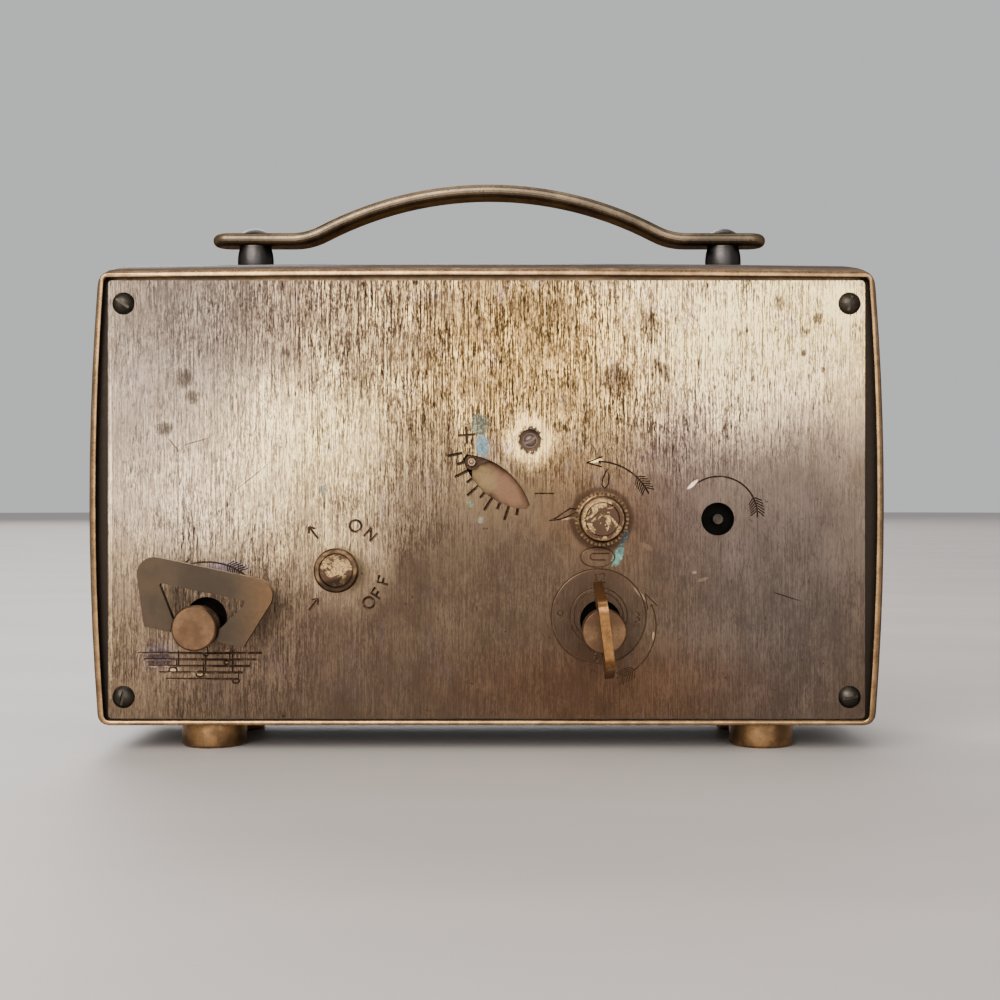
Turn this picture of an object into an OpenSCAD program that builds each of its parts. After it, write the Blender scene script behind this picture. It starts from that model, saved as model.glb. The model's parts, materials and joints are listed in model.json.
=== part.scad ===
// Musical alarm clock with folding winding keys, seen from its working side: the back.
// Millimetres, +Z up. The dial looks to -Y, the back plate with its keys to +Y.
// The origin is on the table under the middle of the overall box.

/* [Case] */
// Overall width of the case at its widest
case_w = 160.4; // [155:0.2:200]
// Height of the case top over the table, at the corners of the crown
case_top = 97.9; // [96:0.1:125]
// Height of the case bottom over the table, which is also the height of the feet
case_bottom = 5.4; // [3:0.1:9]
// Depth of the case from front rim to rear rim
case_d = 44; // [42:0.5:60]
// Thickness of the case wall
wall = 1; // [0.8:0.1:1.6]
// Depth over which the rounded shoulder falls to the rim
shoulder = 7; // [4:0.5:9]
// How far each side draws in over the shoulder
side_in = 1.4; // [0.8:0.1:2]
// How far the top draws in over the shoulder
top_in = 2.3; // [1:0.1:3]
// Outward bow of each side
side_bow = 1.6; // [0.4:0.1:3]
// Upward crown of the top
top_crown = 0.5; // [0.2:0.1:2]
// Corner radius at the top of the case
top_r = 7; // [4:0.5:10]
// Corner radius at the bottom of the case
bottom_r = 2.2; // [1.6:0.1:4]

/* [Plates] */
// Thickness of the front panel and of the back plate
plate_t = 1; // [0.8:0.1:1.5]
// How far both plates sit inside the rims
recess = 0.8; // [0.4:0.1:1.5]
// Gap between the straight edge of a plate and the case at its corners
plate_gap = 0.5; // [0.3:0.1:1]
// Radius of the back plate screw heads
screw_head_r = 2.25; // [1.8:0.05:2.8]
// Radius of the back plate screw shanks
screw_r = 1.2; // [0.9:0.05:1.5]

/* [Handle and feet] */
// Overall length of the handle strap
handle_l = 118; // [100:1:124]
// Height of the arch over the table
handle_top = 117.4; // [116:0.2:140]
// Thickness of the strap
strap_t = 2.7; // [2:0.1:4]
// Depth of the strap from front to back
strap_w = 7.5; // [6:0.5:12]
// Distance between the two handle posts
post_span = 100; // [88:1:104]
// Radius of the barrel spacers under the strap
ball_r = 3.8; // [3.6:0.1:5]
// Height of the barrel spacers between the case and the strap
ball_h = 6.2; // [5:0.1:7]
// Radius of the feet
foot_r = 6.6; // [5:0.2:8]
// Distance between the left and right feet
foot_span = 113; // [90:1:120]
// Distance between the front and rear feet
foot_depth = 22; // [16:1:28]

/* [Keys and knobs] */
// Radius of the key hub discs
hub_r = 4.4; // [4:0.1:5]
// Height of the hub disc faces over the back plate
hub_h = 12; // [10:0.5:15]
// Height of the loop pivots over the back plate
pivot_h = 9.6; // [8:0.1:10.2]
// Thickness of the folding loops
loop_t = 1.8; // [1.2:0.1:2.4]
// Reach of a loop from its pivot
loop_reach = 11.8; // [10:0.1:14]
// Half width of the music key loop
music_loop_w = 13.3; // [12:0.1:16]
// Half width of the clock key loop at its bar
clock_loop_w = 6.8; // [6:0.1:9]
// Turn of the music key at rest, away from upright
music_key_turn = 12; // [0:1:45]
// Turn of the clock key at rest, away from upright
clock_key_turn = 7; // [0:1:45]
// Radius of the on and off knob
switch_r = 4.35; // [3:0.05:6]
// Height of the on and off knob face over the back plate when pulled out
switch_h = 9; // [8.5:0.1:12]
// Travel of the on and off knob
switch_travel = 4; // [3:0.1:4.5]
// Radius of the beaded ring under the hand setting knob
set_ring_r = 5.45; // [4.8:0.05:7]
// Height of the hand setting knob over the back plate
set_knob_h = 5; // [4:0.1:7]
// Number of beads round the hand setting knob
set_beads = 38; // [24:1:48]

/* [Dial] */
// Radius of the visible dial
dial_r = 29.5; // [24:0.5:34]
// Width of the bezel ring around the dial
bezel_w = 5; // [3:0.5:7]
// Depth of the dial face behind the front rim
dial_depth = 6.5; // [6:0.1:9]
// Number of louvres in the sound grille
louvres = 9; // [5:1:11]
// Length of each louvre
louvre_l = 40; // [30:1:46]

/* [Movement] */
// Height of the centre arbor over the case bottom
centre_h = 41.2; // [40:0.1:50]
// Distance of the centre arbor from the middle of the case, away from the music box
centre_off = 23; // [20:0.5:26]
// Thickness of the movement plates
frame_t = 1.2; // [1:0.1:1.6]
// Radial play of every arbor in its hole
play = 0.05; // [0.03:0.01:0.08]
// Radius of the balance wheel
balance_r = 7.5; // [6:0.1:8]
// Turns of the hairspring
hair_turns = 6; // [4:1:9]
// Number of tuned teeth on the comb
comb_teeth = 18; // [12:1:22]
// Radius of the music cylinder
cyl_r = 6.5; // [5:0.1:7]
// Height of the pins on the music cylinder
pin_h = 0.5; // [0.3:0.05:0.7]

/* [Hidden] */
$fn = 64;

// Depths, measured from the middle of the case towards the back
half_d = case_d / 2;
back_out = half_d - recess;
back_in = back_out - plate_t;
stand_off = 1.8;
rear_out = back_in - stand_off;
rear_in = rear_out - frame_t;
front_out = -half_d + recess;
front_in = front_out + plate_t;
dial_y = -half_d + dial_depth;
dial_t = 0.8;
dial_back = dial_y + dial_t;
motion_depth = 6.7;
move_out = dial_back + motion_depth;
move_in = move_out + frame_t;
pivot_y = back_out + pivot_h;
bezel_front = -half_d - 3.4;
y_shift = -(bezel_front + pivot_y + loop_reach) / 2;

// Case outline
half_w = case_w / 2 - side_bow;
rim_half_w = half_w - side_in;
rim_top = case_top - top_in;
plate_half_w = rim_half_w - wall - plate_gap;
plate_bottom = case_bottom + wall + 0.3;
plate_top = rim_top - wall - 0.3;
rim_top_r = 1.2;
screw_in = 3.1;
screw_x = plate_half_w - screw_in;
screw_low = plate_bottom + 4.3;
screw_high = plate_top - 4.6;

// Places on the back, as [x, z]
centre = [-centre_off, case_bottom + centre_h];
going = [centre[0], centre[1] - 21.5];
alarm = [centre[0] - 23.25, centre[1]];
balance = [centre[0] + 14.3, centre[1] + 15.8];
music = [case_w / 2 - 24.3, case_bottom + 20.3];
switch_at = [music[0] - 26.9, music[1] + 11];
grille_x = music[0] - 10.9;

// Toothed wheels: module and teeth of each mesh
great_m = 0.5;
great_z = 70;
centre_pin_z = 16;
centre_m = 0.3;
centre_z = 64;
leaf_z = 8;
third_m = 0.28;
third_z = 60;
fourth_m = 0.25;
fourth_z = 64;
escape_z = 15;
escape_r = 4.5;
cannon_m = 0.4;
cannon_z = 12;
minute_z = 36;
minute_pin_z = 10;
hour_z = 40;
alarm_m = 0.5;
alarm_z = 78;
alarm_pin_z = 15;
barrel_m = 0.5;
barrel_z = 48;
cyl_pin_z = 16;
gov_m = 0.3;
cyl_gear_z = 54;
gov_pin_z = 9;
worm_wheel_z = 30;
worm_wheel_m = 1 / 3;

function polar(p, r, a) = [p[0] + r * cos(a), p[1] + r * sin(a)];
function pitch_r(m, z) = m * z / 2;
function bearing(p, q) = atan2(q[1] - p[1], q[0] - p[0]);

third = polar(centre, pitch_r(centre_m, centre_z + leaf_z), 165);
fourth = polar(third, pitch_r(third_m, third_z + leaf_z), 69);
escape = polar(fourth, pitch_r(fourth_m, fourth_z + leaf_z), 50);
lever = polar(balance, balance_r + 1.1, bearing(balance, escape));
minute = polar(centre, pitch_r(cannon_m, cannon_z + minute_z), -50);
hour_m = cannon_m * (cannon_z + minute_z) / (minute_pin_z + hour_z);
regulator_rest = -20.6;
regulator_pin = polar(balance, 12.5, regulator_rest);

// Depths of the wheels, as [first face, thickness]
great_y = [move_in + 2.8, 1.4];
ratchet_y = [great_y[0] + 1.7, 1];
centre_y = [move_in + 5.6, 0.8];
third_y = [move_in + 8.8, 0.8];
fourth_y = [move_in + 11.8, 0.8];
escape_y = [move_in + 14.8, 0.8];
balance_y = [escape_y[0] + 3, 1.2];
hair_y = [balance_y[0] + 2.3, 0.6];
spring_y = [ratchet_y[0] + 2.4, 9];
regulator_y = [rear_out + 0.4, 0.5];
cannon_y = [move_out - 1.8, 1.2];
hour_y = [move_out - 3.5, 0.7];
alarm_wheel_y = [move_out - 5.2, 0.7];
arbor_r = 1;
going_r = 1.5;
thin_r = 0.6;
cannon_r = 1.5;
hour_pipe_r = 2.1;
alarm_pipe_r = 2.7;
alarm_hand_y = [dial_y - 1.1, 0.4];
hour_hand_y = [dial_y - 2.2, 0.4];
minute_hand_y = [dial_y - 3.4, 0.4];

// Movement plates
mv_left = centre[0] - 30;
mv_right = centre[0] + 26;
mv_bottom = plate_bottom + 1.6;
mv_top = centre[1] + 28;
pillar_r = 2;
pillar_in = 3.4;
pillar_pivot_r = 1.2;
pillars_at = [
    [mv_left + pillar_in, mv_bottom + pillar_in], [mv_right - pillar_in, mv_bottom + pillar_in],
    [mv_left + pillar_in, mv_top - pillar_in], [mv_right - pillar_in, mv_top - pillar_in]
];
mainspring_r = 10.6;

// Music box
bed_y = [rear_in - 1.2, 1.4];
arm_y = [bed_y[0] - 1.2, 0.7];
arm_w = 1.8;
bed_left = music[0] - 32;
bed_right = music[0] + 13.5;
bed_low = music[1] - 15.4;
bed_high = music[1] + 64;
barrel_pitch_y = move_in + 10.4;
cyl_axis_y = barrel_pitch_y - pitch_r(barrel_m, cyl_pin_z);
crown_r = pitch_r(barrel_m, barrel_z);
barrel_r = 11;
crown_add = 0.375;
cyl_low = music[1] + crown_r + 3.6;
cyl_len = 34;
cyl_high = cyl_low + cyl_len;
cyl_gear_low = cyl_high + 1;
comb_y = [cyl_axis_y - 0.6, 1.2];
comb_tip = music[0] - cyl_r - pin_h - 0.15;
comb_root = comb_tip - 13;
comb_left = comb_tip - 24;
gov = [music[0] + pitch_r(gov_m, cyl_gear_z + gov_pin_z), cyl_axis_y];
gov_wheel_low = cyl_gear_low + 5.2;
worm_r = 1;
worm_l = 4.8;
fan_axis_y = cyl_axis_y + pitch_r(worm_wheel_m, worm_wheel_z) + worm_r + 0.35;
fan_z = gov_wheel_low + 0.6;
fan_x = music[0] - 9;
// The fan just clears the stop arm when the knob is pushed in
fan_r = arm_y[0] - switch_travel - 0.45 - fan_axis_y;
bracket_t = 1.2;
low_bracket = cyl_low - 1.7;
high_bracket = cyl_gear_low + 2.2;
top_bracket = gov_wheel_low + 2.4;

// Shapes used again and again

// Points along an arc
function arc(cx, cy, r, from, to, steps) =
    [for (i = [0:steps]) let(a = from + (to - from) * i / steps) [cx + r * cos(a), cy + r * sin(a)]];

// Outline of the case, drawn in from its full size by side and top amounts
function case_points(side, top, bottom, rt, rb) =
    let(
        hw = half_w - side,
        zt = case_top - top,
        zb = case_bottom + bottom,
        steps = 10
    )
    concat(
        arc(hw - rb, zb + rb, rb, -90, 0, 4),
        [for (i = [1:steps - 1]) let(t = i / steps)
            [hw + side_bow * 4 * t * (1 - t), zb + rb + (zt - rt - zb - rb) * t]],
        arc(hw - rt, zt - rt, rt, 0, 90, 5),
        [for (i = [1:steps - 1]) let(t = i / steps)
            [(hw - rt) * (1 - 2 * t), zt + top_crown * 4 * t * (1 - t)]],
        arc(-(hw - rt), zt - rt, rt, 90, 180, 5),
        [for (i = [1:steps - 1]) let(t = 1 - i / steps)
            [-hw - side_bow * 4 * t * (1 - t), zb + rb + (zt - rt - zb - rb) * t]],
        arc(-(hw - rb), zb + rb, rb, 180, 270, 4)
    );

// Everything is drawn about the middle of the case and then moved to the origin
module in_case() {
    translate([0, y_shift, 0]) children();
}

// A flat shape in x and z, standing at depth y and t thick towards the back
module slab(y, t) {
    translate([0, y + t, 0]) rotate([90, 0, 0]) linear_extrude(t) children();
}

// Plate outline with round corners
module round_plate(x0, z0, x1, z1, r) {
    translate([x0 + r, z0]) square([x1 - x0 - 2 * r, z1 - z0]);
    translate([x0, z0 + r]) square([x1 - x0, z1 - z0 - 2 * r]);
    for (x = [x0 + r, x1 - r], z = [z0 + r, z1 - r])
        translate([x, z]) circle(r);
}

// Something turned about an axis that runs from front to back through p
module on_axis(p, y) {
    translate([p[0], y, p[1]]) rotate([-90, 0, 0]) children();
}

// A round rod or disc from depth y to depth y + t
module rod(p, r, y, t) {
    on_axis(p, y) cylinder(h = t, r = r);
}

module rod_between(p, r, y0, y1) {
    rod(p, r, min(y0, y1), abs(y1 - y0));
}

// Height of the case top over its corners, at a distance x from the middle
function crown(x) = top_crown * (1 - pow(x / (half_w - top_r), 2));

// Closed solid through rings of points that all have the same count
module loft(rings) {
    n = len(rings[0]);
    m = len(rings);
    sides = [for (i = [0:m - 2], k = [0:n - 1], half = [0, 1])
        let(a = i * n + k, b = i * n + (k + 1) % n)
        half == 0 ? [a, b, a + n] : [b, b + n, a + n]];
    caps = [[for (k = [n - 1:-1:0]) k], [for (k = [0:n - 1]) (m - 1) * n + k]];
    polyhedron(points = [for (r = rings, q = r) q], faces = concat(sides, caps), convexity = 4);
}

// Radius of the top corners, between the full section and the rim
function corner_r(skin, out) =
    top_r - skin + (max(rim_top_r - skin, 0.2) - top_r + skin) * out;

// Body of the case, drawn in by a skin and carried straight past the rims by reach
module case_body(skin, reach) {
    steps = 4;
    angles = [for (i = [-steps:steps]) 90 * i / steps];
    function ring(a, y) =
        let(
            out = 1 - cos(a),
            side = side_in * out + skin,
            top = top_in * out + skin
        )
        [for (q = case_points(side, top, skin, corner_r(skin, out), bottom_r - skin)) [q[0], y, q[1]]];
    loft(concat(
        reach > 0 ? [ring(-90, -half_d - reach)] : [],
        [for (a = angles) if (a < 0) ring(a, -half_d + shoulder + shoulder * sin(a))],
        [ring(0, -half_d + shoulder), ring(0, half_d - shoulder)],
        [for (a = angles) if (a > 0) ring(a, half_d - shoulder + shoulder * sin(a))],
        reach > 0 ? [ring(90, half_d + reach)] : []
    ));
}

function involute(a) = tan(a) - a * PI / 180;
press = 28;

// Half angle of a tooth at radius r
function tooth_half(r, rp, z) =
    let(rb = rp * cos(press), a = r > rb ? acos(rb / r) : 0)
    79.2 / z + (involute(press) - involute(a)) * 180 / PI;

// Outline of a toothed wheel, its first tooth along the angle given
module teeth(m, z, first = 0) {
    rp = pitch_r(m, z);
    tip = rp + 0.75 * m;
    root = rp - 1.05 * m;
    radii = z > 20 ? [root, tip] : [root, rp, tip];
    n = len(radii);
    polygon([for (i = [0:z - 1], k = [0:2 * n - 1])
        let(
            r = radii[k < n ? k : 2 * n - 1 - k],
            h = tooth_half(r, rp, z) * (k < n ? -1 : 1),
            a = first + 360 * i / z + h
        )
        [r * cos(a), r * sin(a)]]);
}

// Windows between the arms of a wheel
module crossings(hub, rim, arms, arm_w, first = 0) {
    difference() {
        circle(rim);
        circle(hub);
        for (i = [0:arms - 1])
            rotate(first + 360 * i / arms) translate([0, -arm_w / 2]) square([rim + 1, arm_w]);
    }
}

// Toothed wheel on an axis through p, its first tooth at the angle given in x and z
module wheel(p, y, m, z, first, bore, hub = 0, rim = 0, arms = 5, arm_w = 1) {
    on_axis(p, y[0]) linear_extrude(y[1]) difference() {
        teeth(m, z, -first);
        circle(bore);
        if (hub > 0)
            crossings(hub, rim, arms, arm_w);
    }
}

// A flat spiral band
function spiral(r0, r1, turns, w, steps) =
    concat(
        [for (i = [0:steps]) let(t = i / steps, r = r0 + (r1 - r0) * t - w / 2, a = 360 * turns * t)
            [r * cos(a), r * sin(a)]],
        [for (i = [steps:-1:0]) let(t = i / steps, r = r0 + (r1 - r0) * t + w / 2, a = 360 * turns * t)
            [r * cos(a), r * sin(a)]]
    );

// Ratchet wheel outline with slanted teeth
module ratchet(r, z, depth) {
    polygon([for (i = [0:z - 1], k = [0, 1])
        let(a = 360 * (i + k * 0.12) / z, q = k == 0 ? r : r - depth) [q * cos(a), q * sin(a)]]);
}

// Domed screw head on an axis through p, its flat face at depth y, looking back
module dome_head(p, y, r, h, slot_turn) {
    curve = (r * r + h * h) / (2 * h);
    on_axis(p, y) difference() {
        intersection() {
            cylinder(h = h, r = r);
            translate([0, 0, h - curve]) sphere(curve);
        }
        rotate(slot_turn) translate([-r - 1, -0.28, h - 0.5]) cube([2 * r + 2, 0.56, 1]);
    }
}

// Case

module case_shell() {
    color("dimgray") in_case() difference() {
        case_body(0, 0);
        case_body(wall, 1);
        for (x = [-foot_span / 2, foot_span / 2], y = [-foot_depth / 2, foot_depth / 2])
            translate([x, y, case_bottom - 1]) cylinder(h = wall + 2, r = foot_screw_r + 0.1);
        for (x = [-post_span / 2, post_span / 2])
            translate([x, 0, case_top - wall - 2]) cylinder(h = wall + 5, r = post_screw_r + 0.1);
    }
}

foot_screw_r = 1.3;
module feet() {
    edge = 0.5;
    color("goldenrod") in_case()
        for (x = [-foot_span / 2, foot_span / 2], y = [-foot_depth / 2, foot_depth / 2])
            translate([x, y, 0]) rotate_extrude() polygon([
                [0, 0], [foot_r - edge, 0], [foot_r, edge], [foot_r, case_bottom - 0.3],
                [foot_r - 0.3, case_bottom], [foot_screw_r + play, case_bottom],
                [foot_screw_r + play, 1.6], [0, 1.6]
            ]);
}

module foot_screws() {
    top = case_bottom + wall;
    color("silver") in_case()
        for (x = [-foot_span / 2, foot_span / 2], y = [-foot_depth / 2, foot_depth / 2])
            translate([x, y, 0]) rotate_extrude() polygon([
                [0, 1.9], [foot_screw_r, 1.9], [foot_screw_r, top], [2.4, top], [2.2, top + 1],
                [0, top + 1.4]
            ]);
}

// Sideways draw of the case at a depth that lies in the shoulder
function shoulder_out(y) = 1 - sqrt(max(0, 1 - pow((abs(y) - half_d + shoulder) / shoulder, 2)));

// Flange inside a rim, which carries a plate
module flange(y, inner) {
    out = max(shoulder_out(y - 0.5), shoulder_out(y + 0.5));
    side = side_in * out + wall + 0.06;
    top = top_in * out + wall + 0.06;
    slab(y - 0.5, 1) difference() {
        polygon(case_points(side, top, wall + 0.02, corner_r(wall, out), bottom_r - wall));
        translate([-plate_half_w + inner, plate_bottom + 2.4])
            square([2 * (plate_half_w - inner), plate_top - plate_bottom - 4.8]);
    }
}

module screw_corners() {
    for (x = [-screw_x, screw_x], z = [screw_low, screw_high])
        translate([x, z]) children();
}

module rear_frame() {
    color("gray") in_case() difference() {
        union() {
            flange(back_in - 0.5, 2.4);
            for (x = [-screw_x, screw_x], z = [screw_low, screw_high])
                rod([x, z], 3, back_in - 4, 4);
        }
        for (x = [-screw_x, screw_x], z = [screw_low, screw_high])
            rod([x, z], screw_r + play, back_in - 5, 6);
    }
}

// Leaf of the regulator slot between two circles, blunt at both ends
module leaf_slot() {
    outer_r = 13.9;
    inner_r = 14.6;
    apart = 22.3;
    half_l = 8.1;
    across = -51.3;
    to_middle = (apart + (outer_r * outer_r - inner_r * inner_r) / apart) / 2;
    intersection() {
        translate(balance) circle(outer_r);
        translate(polar(balance, apart, across)) circle(inner_r);
        translate(polar(balance, to_middle, across)) circle(half_l);
    }
}

peep_r = 2.2;
key_hole_r = 4.1;
alarm_hole_r = 3.3;
plate_corner = 0.8;
module back_plate() {
    color("tan") in_case() slab(back_out - plate_t, plate_t) difference() {
        round_plate(-plate_half_w, plate_bottom, plate_half_w, plate_top, plate_corner);
        translate(balance) circle(peep_r);
        leaf_slot();
        translate([going[0] + 0.2, going[1] + 1.2]) circle(key_hole_r);
        translate([music[0] + 0.1, music[1] + 1.2]) circle(key_hole_r);
        translate(alarm) circle(alarm_hole_r);
        translate(centre) circle(arbor_r + 0.4);
        translate(switch_at) circle(switch_rod_r + 0.3);
        screw_corners() circle(screw_r + 0.3);
    }
}

// Turn of each screw's slot, by side and height
screw_turns = [[10, 75], [80, -35]];
module back_screws() {
    color("dimgray") in_case()
        for (i = [0, 1], j = [0, 1]) {
            p = [i == 0 ? -screw_x : screw_x, j == 0 ? screw_low : screw_high];
            dome_head(p, back_out, screw_head_r, 1.3, screw_turns[i][j]);
            rod(p, screw_r, back_in - 3.6, 3.6 + plate_t + 0.01);
        }
}

// Front

module front_frame() {
    color("gray") in_case() flange(front_in + 0.5, 2.4);
}

// Windows behind the louvre hoods
louvre_pitch = 5;
slot_h = 2;
module front_panel() {
    grille_low = centre[1] - louvre_pitch * (louvres - 1) / 2;
    color("goldenrod") in_case() {
        slab(front_out, plate_t) difference() {
            round_plate(-plate_half_w, plate_bottom, plate_half_w, plate_top, plate_corner);
            translate(centre) circle(dial_r + 2.2);
            for (i = [0:louvres - 1])
                translate([grille_x - louvre_l / 2, grille_low + louvre_pitch * i - slot_h / 2])
                    square([louvre_l, slot_h]);
        }
        for (i = [0:louvres - 1])
            louvre_hood(grille_low + louvre_pitch * i + slot_h / 2);
    }
}

// Pressed hood over a slot whose upper edge is at z, open upwards and closed at both ends
module louvre_hood(z) {
    over = 0.6;
    translate([grille_x - louvre_l / 2 - over, front_out, z]) rotate([90, 0, 90]) difference() {
        linear_extrude(louvre_l + 2 * over) intersection() {
            circle(slot_h + 0.2);
            translate([-slot_h - 1, -slot_h - 1]) square([slot_h + 1, slot_h + 1.6]);
        }
        translate([0, 0, over]) cylinder(h = louvre_l, r = slot_h - 0.4);
    }
}

module bezel() {
    inner = dial_r;
    outer = dial_r + bezel_w;
    lip = 0.9;
    bead_r = (bezel_w - lip) / 2;
    color("gold") in_case() on_axis(centre, 0) rotate_extrude() polygon(concat(
        [[inner, dial_y - 0.05], [inner + lip, bezel_front + 3.4]],
        arc(outer - bead_r, bezel_front + bead_r, bead_r, 180, 360, 10),
        [[outer, front_out - 0.02], [inner + 2.1, front_out - 0.02], [inner + 2.1, front_in + 0.6],
         [inner + 1.3, dial_y - 0.05]]
    ));
}

glass_t = 1;
glass_rise = 2.2;
module glass() {
    r = dial_r + 0.8;
    curve = (r * r + glass_rise * glass_rise) / (2 * glass_rise);
    edge = bezel_front + 3;
    color("lightcyan", 0.4) in_case() on_axis(centre, edge) rotate_extrude() polygon(concat(
        arc(0, curve - glass_rise, curve, -90, asin(r / curve) - 90, 12),
        arc(0, curve - glass_rise, curve - glass_t, asin(r / (curve - glass_t)) - 90, -90, 12)
    ));
}

dial_feet_r = 1;
dial_feet = [for (a = [100, 220, 340]) polar(centre, 25, a)];
module dial() {
    color("ivory") in_case() {
        slab(dial_y, dial_t) difference() {
            translate(centre) circle(dial_r + 3);
            translate(centre) circle(alarm_pipe_r + 0.4);
        }
        for (p = dial_feet)
            rod_between(p, dial_feet_r, dial_back - 0.01, move_in - 0.2);
    }
}

// Movement

// Arbor holes of a movement plate, as [place, radius]
module plate_holes(list) {
    for (h = list)
        translate(h[0]) circle(h[1] + play);
}

module movement_blank() {
    round_plate(mv_left, mv_bottom, mv_right, mv_top, 3);
}

train_holes = [[third, thin_r], [fourth, thin_r], [escape, thin_r], [lever, thin_r]];
module movement_front_plate() {
    color("darkgoldenrod") in_case() {
        slab(move_out, frame_t) difference() {
            movement_blank();
            plate_holes(train_holes);
            plate_holes([[centre, arbor_r], [going, going_r], [alarm, arbor_r], [balance, thin_r]]);
            for (p = pillars_at)
                translate(p) circle(pillar_pivot_r);
            for (p = dial_feet)
                translate(p) circle(dial_feet_r + play);
        }
        rod_between(minute, thin_r, move_out + 0.01, hour_y[0] - 0.5);
    }
}

// Arc slot that lets the curb pins of the regulator through
curb_r = 4.4;
module movement_rear_plate() {
    color("darkgoldenrod") in_case() {
        slab(rear_in, frame_t) difference() {
            movement_blank();
            plate_holes(train_holes);
            plate_holes([[centre, arbor_r], [going, going_r], [alarm, arbor_r], [balance, screw_boss_r]]);
            for (p = pillars_at)
                translate(p) circle(pillar_pivot_r);
            translate(balance) difference() {
                intersection() {
                    circle(curb_r + 0.9);
                    polygon([[0, 0], [12, 6], [12, -24], [-3, -17]]);
                }
                circle(curb_r - 0.9);
            }
        }
        // Stud that holds the outer end of the hairspring
        rod_between(polar(balance, curb_r, -hair_stud - 8), 0.5, hair_y[0] - 0.2, rear_in + 0.01);
    }
}

module pillars() {
    color("silver") in_case()
        for (p = pillars_at) {
            rod_between(p, pillar_r, move_in, rear_in);
            rod_between(p, pillar_pivot_r - 0.02, move_out - 0.9, rear_out + 1);
        }
}

module pillar_nuts() {
    color("goldenrod") in_case()
        for (p = pillars_at) {
            on_axis(p, rear_out) difference() {
                cylinder(h = stand_off, r = 2.3, $fn = 6);
                translate([0, 0, -1]) cylinder(h = stand_off - 0.5 + 1, r = pillar_pivot_r);
            }
            on_axis(p, move_out - 0.9) difference() {
                cylinder(h = 0.9, r = 2.3, $fn = 6);
                translate([0, 0, -1]) cylinder(h = 3, r = pillar_pivot_r);
            }
        }
}

screw_boss_r = 1.6;
module balance_screw() {
    color("silver") in_case() difference() {
        union() {
            rod_between(balance, screw_boss_r, rear_in, rear_out + 1.1);
            dome_head(balance, rear_out + 1.1, 1.3, 0.6, 30);
        }
        rod_between(balance, thin_r + play, rear_in - 1, rear_in + 0.8);
    }
}

module going_mainspring() {
    band = 0.35;
    turns = 9;
    color("steelblue") in_case() on_axis(going, spring_y[0]) linear_extrude(spring_y[1])
        polygon(spiral(going_r + 0.4, mainspring_r, turns, band, turns * 24));
}

// Radius of the hairspring after turning by a: a spiral, a step out, and a round stretch for the curb pins
function hair_r(a) =
    let(bent = hair_turns * 360, inner = 1.3, outer = curb_r - 1.1)
    a < bent - 40 ? inner + (outer - inner) * a / (bent - 40)
    : a < bent ? outer + (curb_r - outer) * (1 - cos((a - bent + 40) * 4.5)) / 2
    : curb_r;
hair_stud = 124;
module hairspring() {
    w = 0.14;
    last = hair_turns * 360 + hair_stud;
    angles = [for (a = [0:15:last]) a, last];
    n = len(angles);
    outline = concat(
        [for (i = [0:n - 1]) polar([0, 0], hair_r(angles[i]) - w / 2, angles[i])],
        [for (i = [n - 1:-1:0]) polar([0, 0], hair_r(angles[i]) + w / 2, angles[i])]
    );
    color("steelblue") in_case() on_axis(balance, hair_y[0]) linear_extrude(hair_y[1]) polygon(outline);
}

module key_hub(p) {
    // Drum with its disc face, a neck through the plate and the bore for the loop
    base = back_out + 1.4;
    face = back_out + hub_h;
    difference() {
        on_axis(p, 0) rotate_extrude() polygon([
            [0, back_in - 1.4], [2.4, back_in - 1.4], [2.4, base + 0.6], [3.2, base + 1.4],
            [3.6, pivot_y - 2.4], [hub_r - 0.15, pivot_y - 1.8], [hub_r - 0.15, face - 1.1],
            [hub_r, face - 0.9], [hub_r, face - 0.35], [hub_r - 0.35, face], [0, face]
        ]);
        rod_between(p, going_r, back_in - 3, back_out + 5);
    }
}

stub_r = 0.7;
loop_in = 4.6;
// Places a loop so that it turns about its pivot, u across and v out
module at_pivot(p, turn, fold) {
    translate([p[0], pivot_y, p[1]]) rotate([0, turn, 0]) rotate([fold, 0, 0]) children();
}

module stub_bore(p, turn) {
    translate([p[0], pivot_y, p[1]]) rotate([0, turn, 0]) rotate([0, 90, 0])
        cylinder(h = 2 * hub_r + 2, r = stub_r + play, center = true);
}

// Loop drawn flat: two arms beside the hub, a window over it, and a bar with round corners
module key_loop(arm_w, bar_w, bar_r, window_w) {
    bar_t = 4.7;
    arm_low = -1.8;
    arm_r = 0.5;
    window_low = 0.8;
    window_r = 0.4;
    rotate([90, 0, 0]) translate([0, 0, -loop_t / 2]) linear_extrude(loop_t) difference() {
        hull()
            for (s = [-1, 1]) {
                translate([s * (arm_w - arm_r), arm_low + arm_r]) circle(arm_r, $fn = 24);
                translate([s * (bar_w - bar_r), loop_reach - bar_r]) circle(bar_r, $fn = 40);
            }
        hull()
            for (s = [-1, 1]) {
                translate([s * (loop_in - window_r), window_low]) circle(window_r, $fn = 16);
                translate([s * (window_w - window_r), loop_reach - bar_t - window_r])
                    circle(window_r, $fn = 16);
            }
        translate([-loop_in, arm_low - 1]) square([2 * loop_in, window_low - arm_low + 1]);
    }
    for (s = [-1, 1])
        translate([s * (loop_in + 0.8), 0, 0]) rotate([0, -90 * s, 0]) cylinder(h = 2.6, r = stub_r);
}

module clock_key_hub() {
    color("saddlebrown") in_case() difference() {
        key_hub(going);
        stub_bore(going, 90 + clock_key_turn);
    }
}

module clock_key_loop() {
    color("darkkhaki") in_case() at_pivot(going, 90 + clock_key_turn, -90)
        key_loop(9.5, clock_loop_w, 2.5, clock_loop_w - 2.5);
}

module music_key_hub() {
    color("saddlebrown") in_case() difference() {
        key_hub(music);
        stub_bore(music, -music_key_turn);
    }
}

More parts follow.
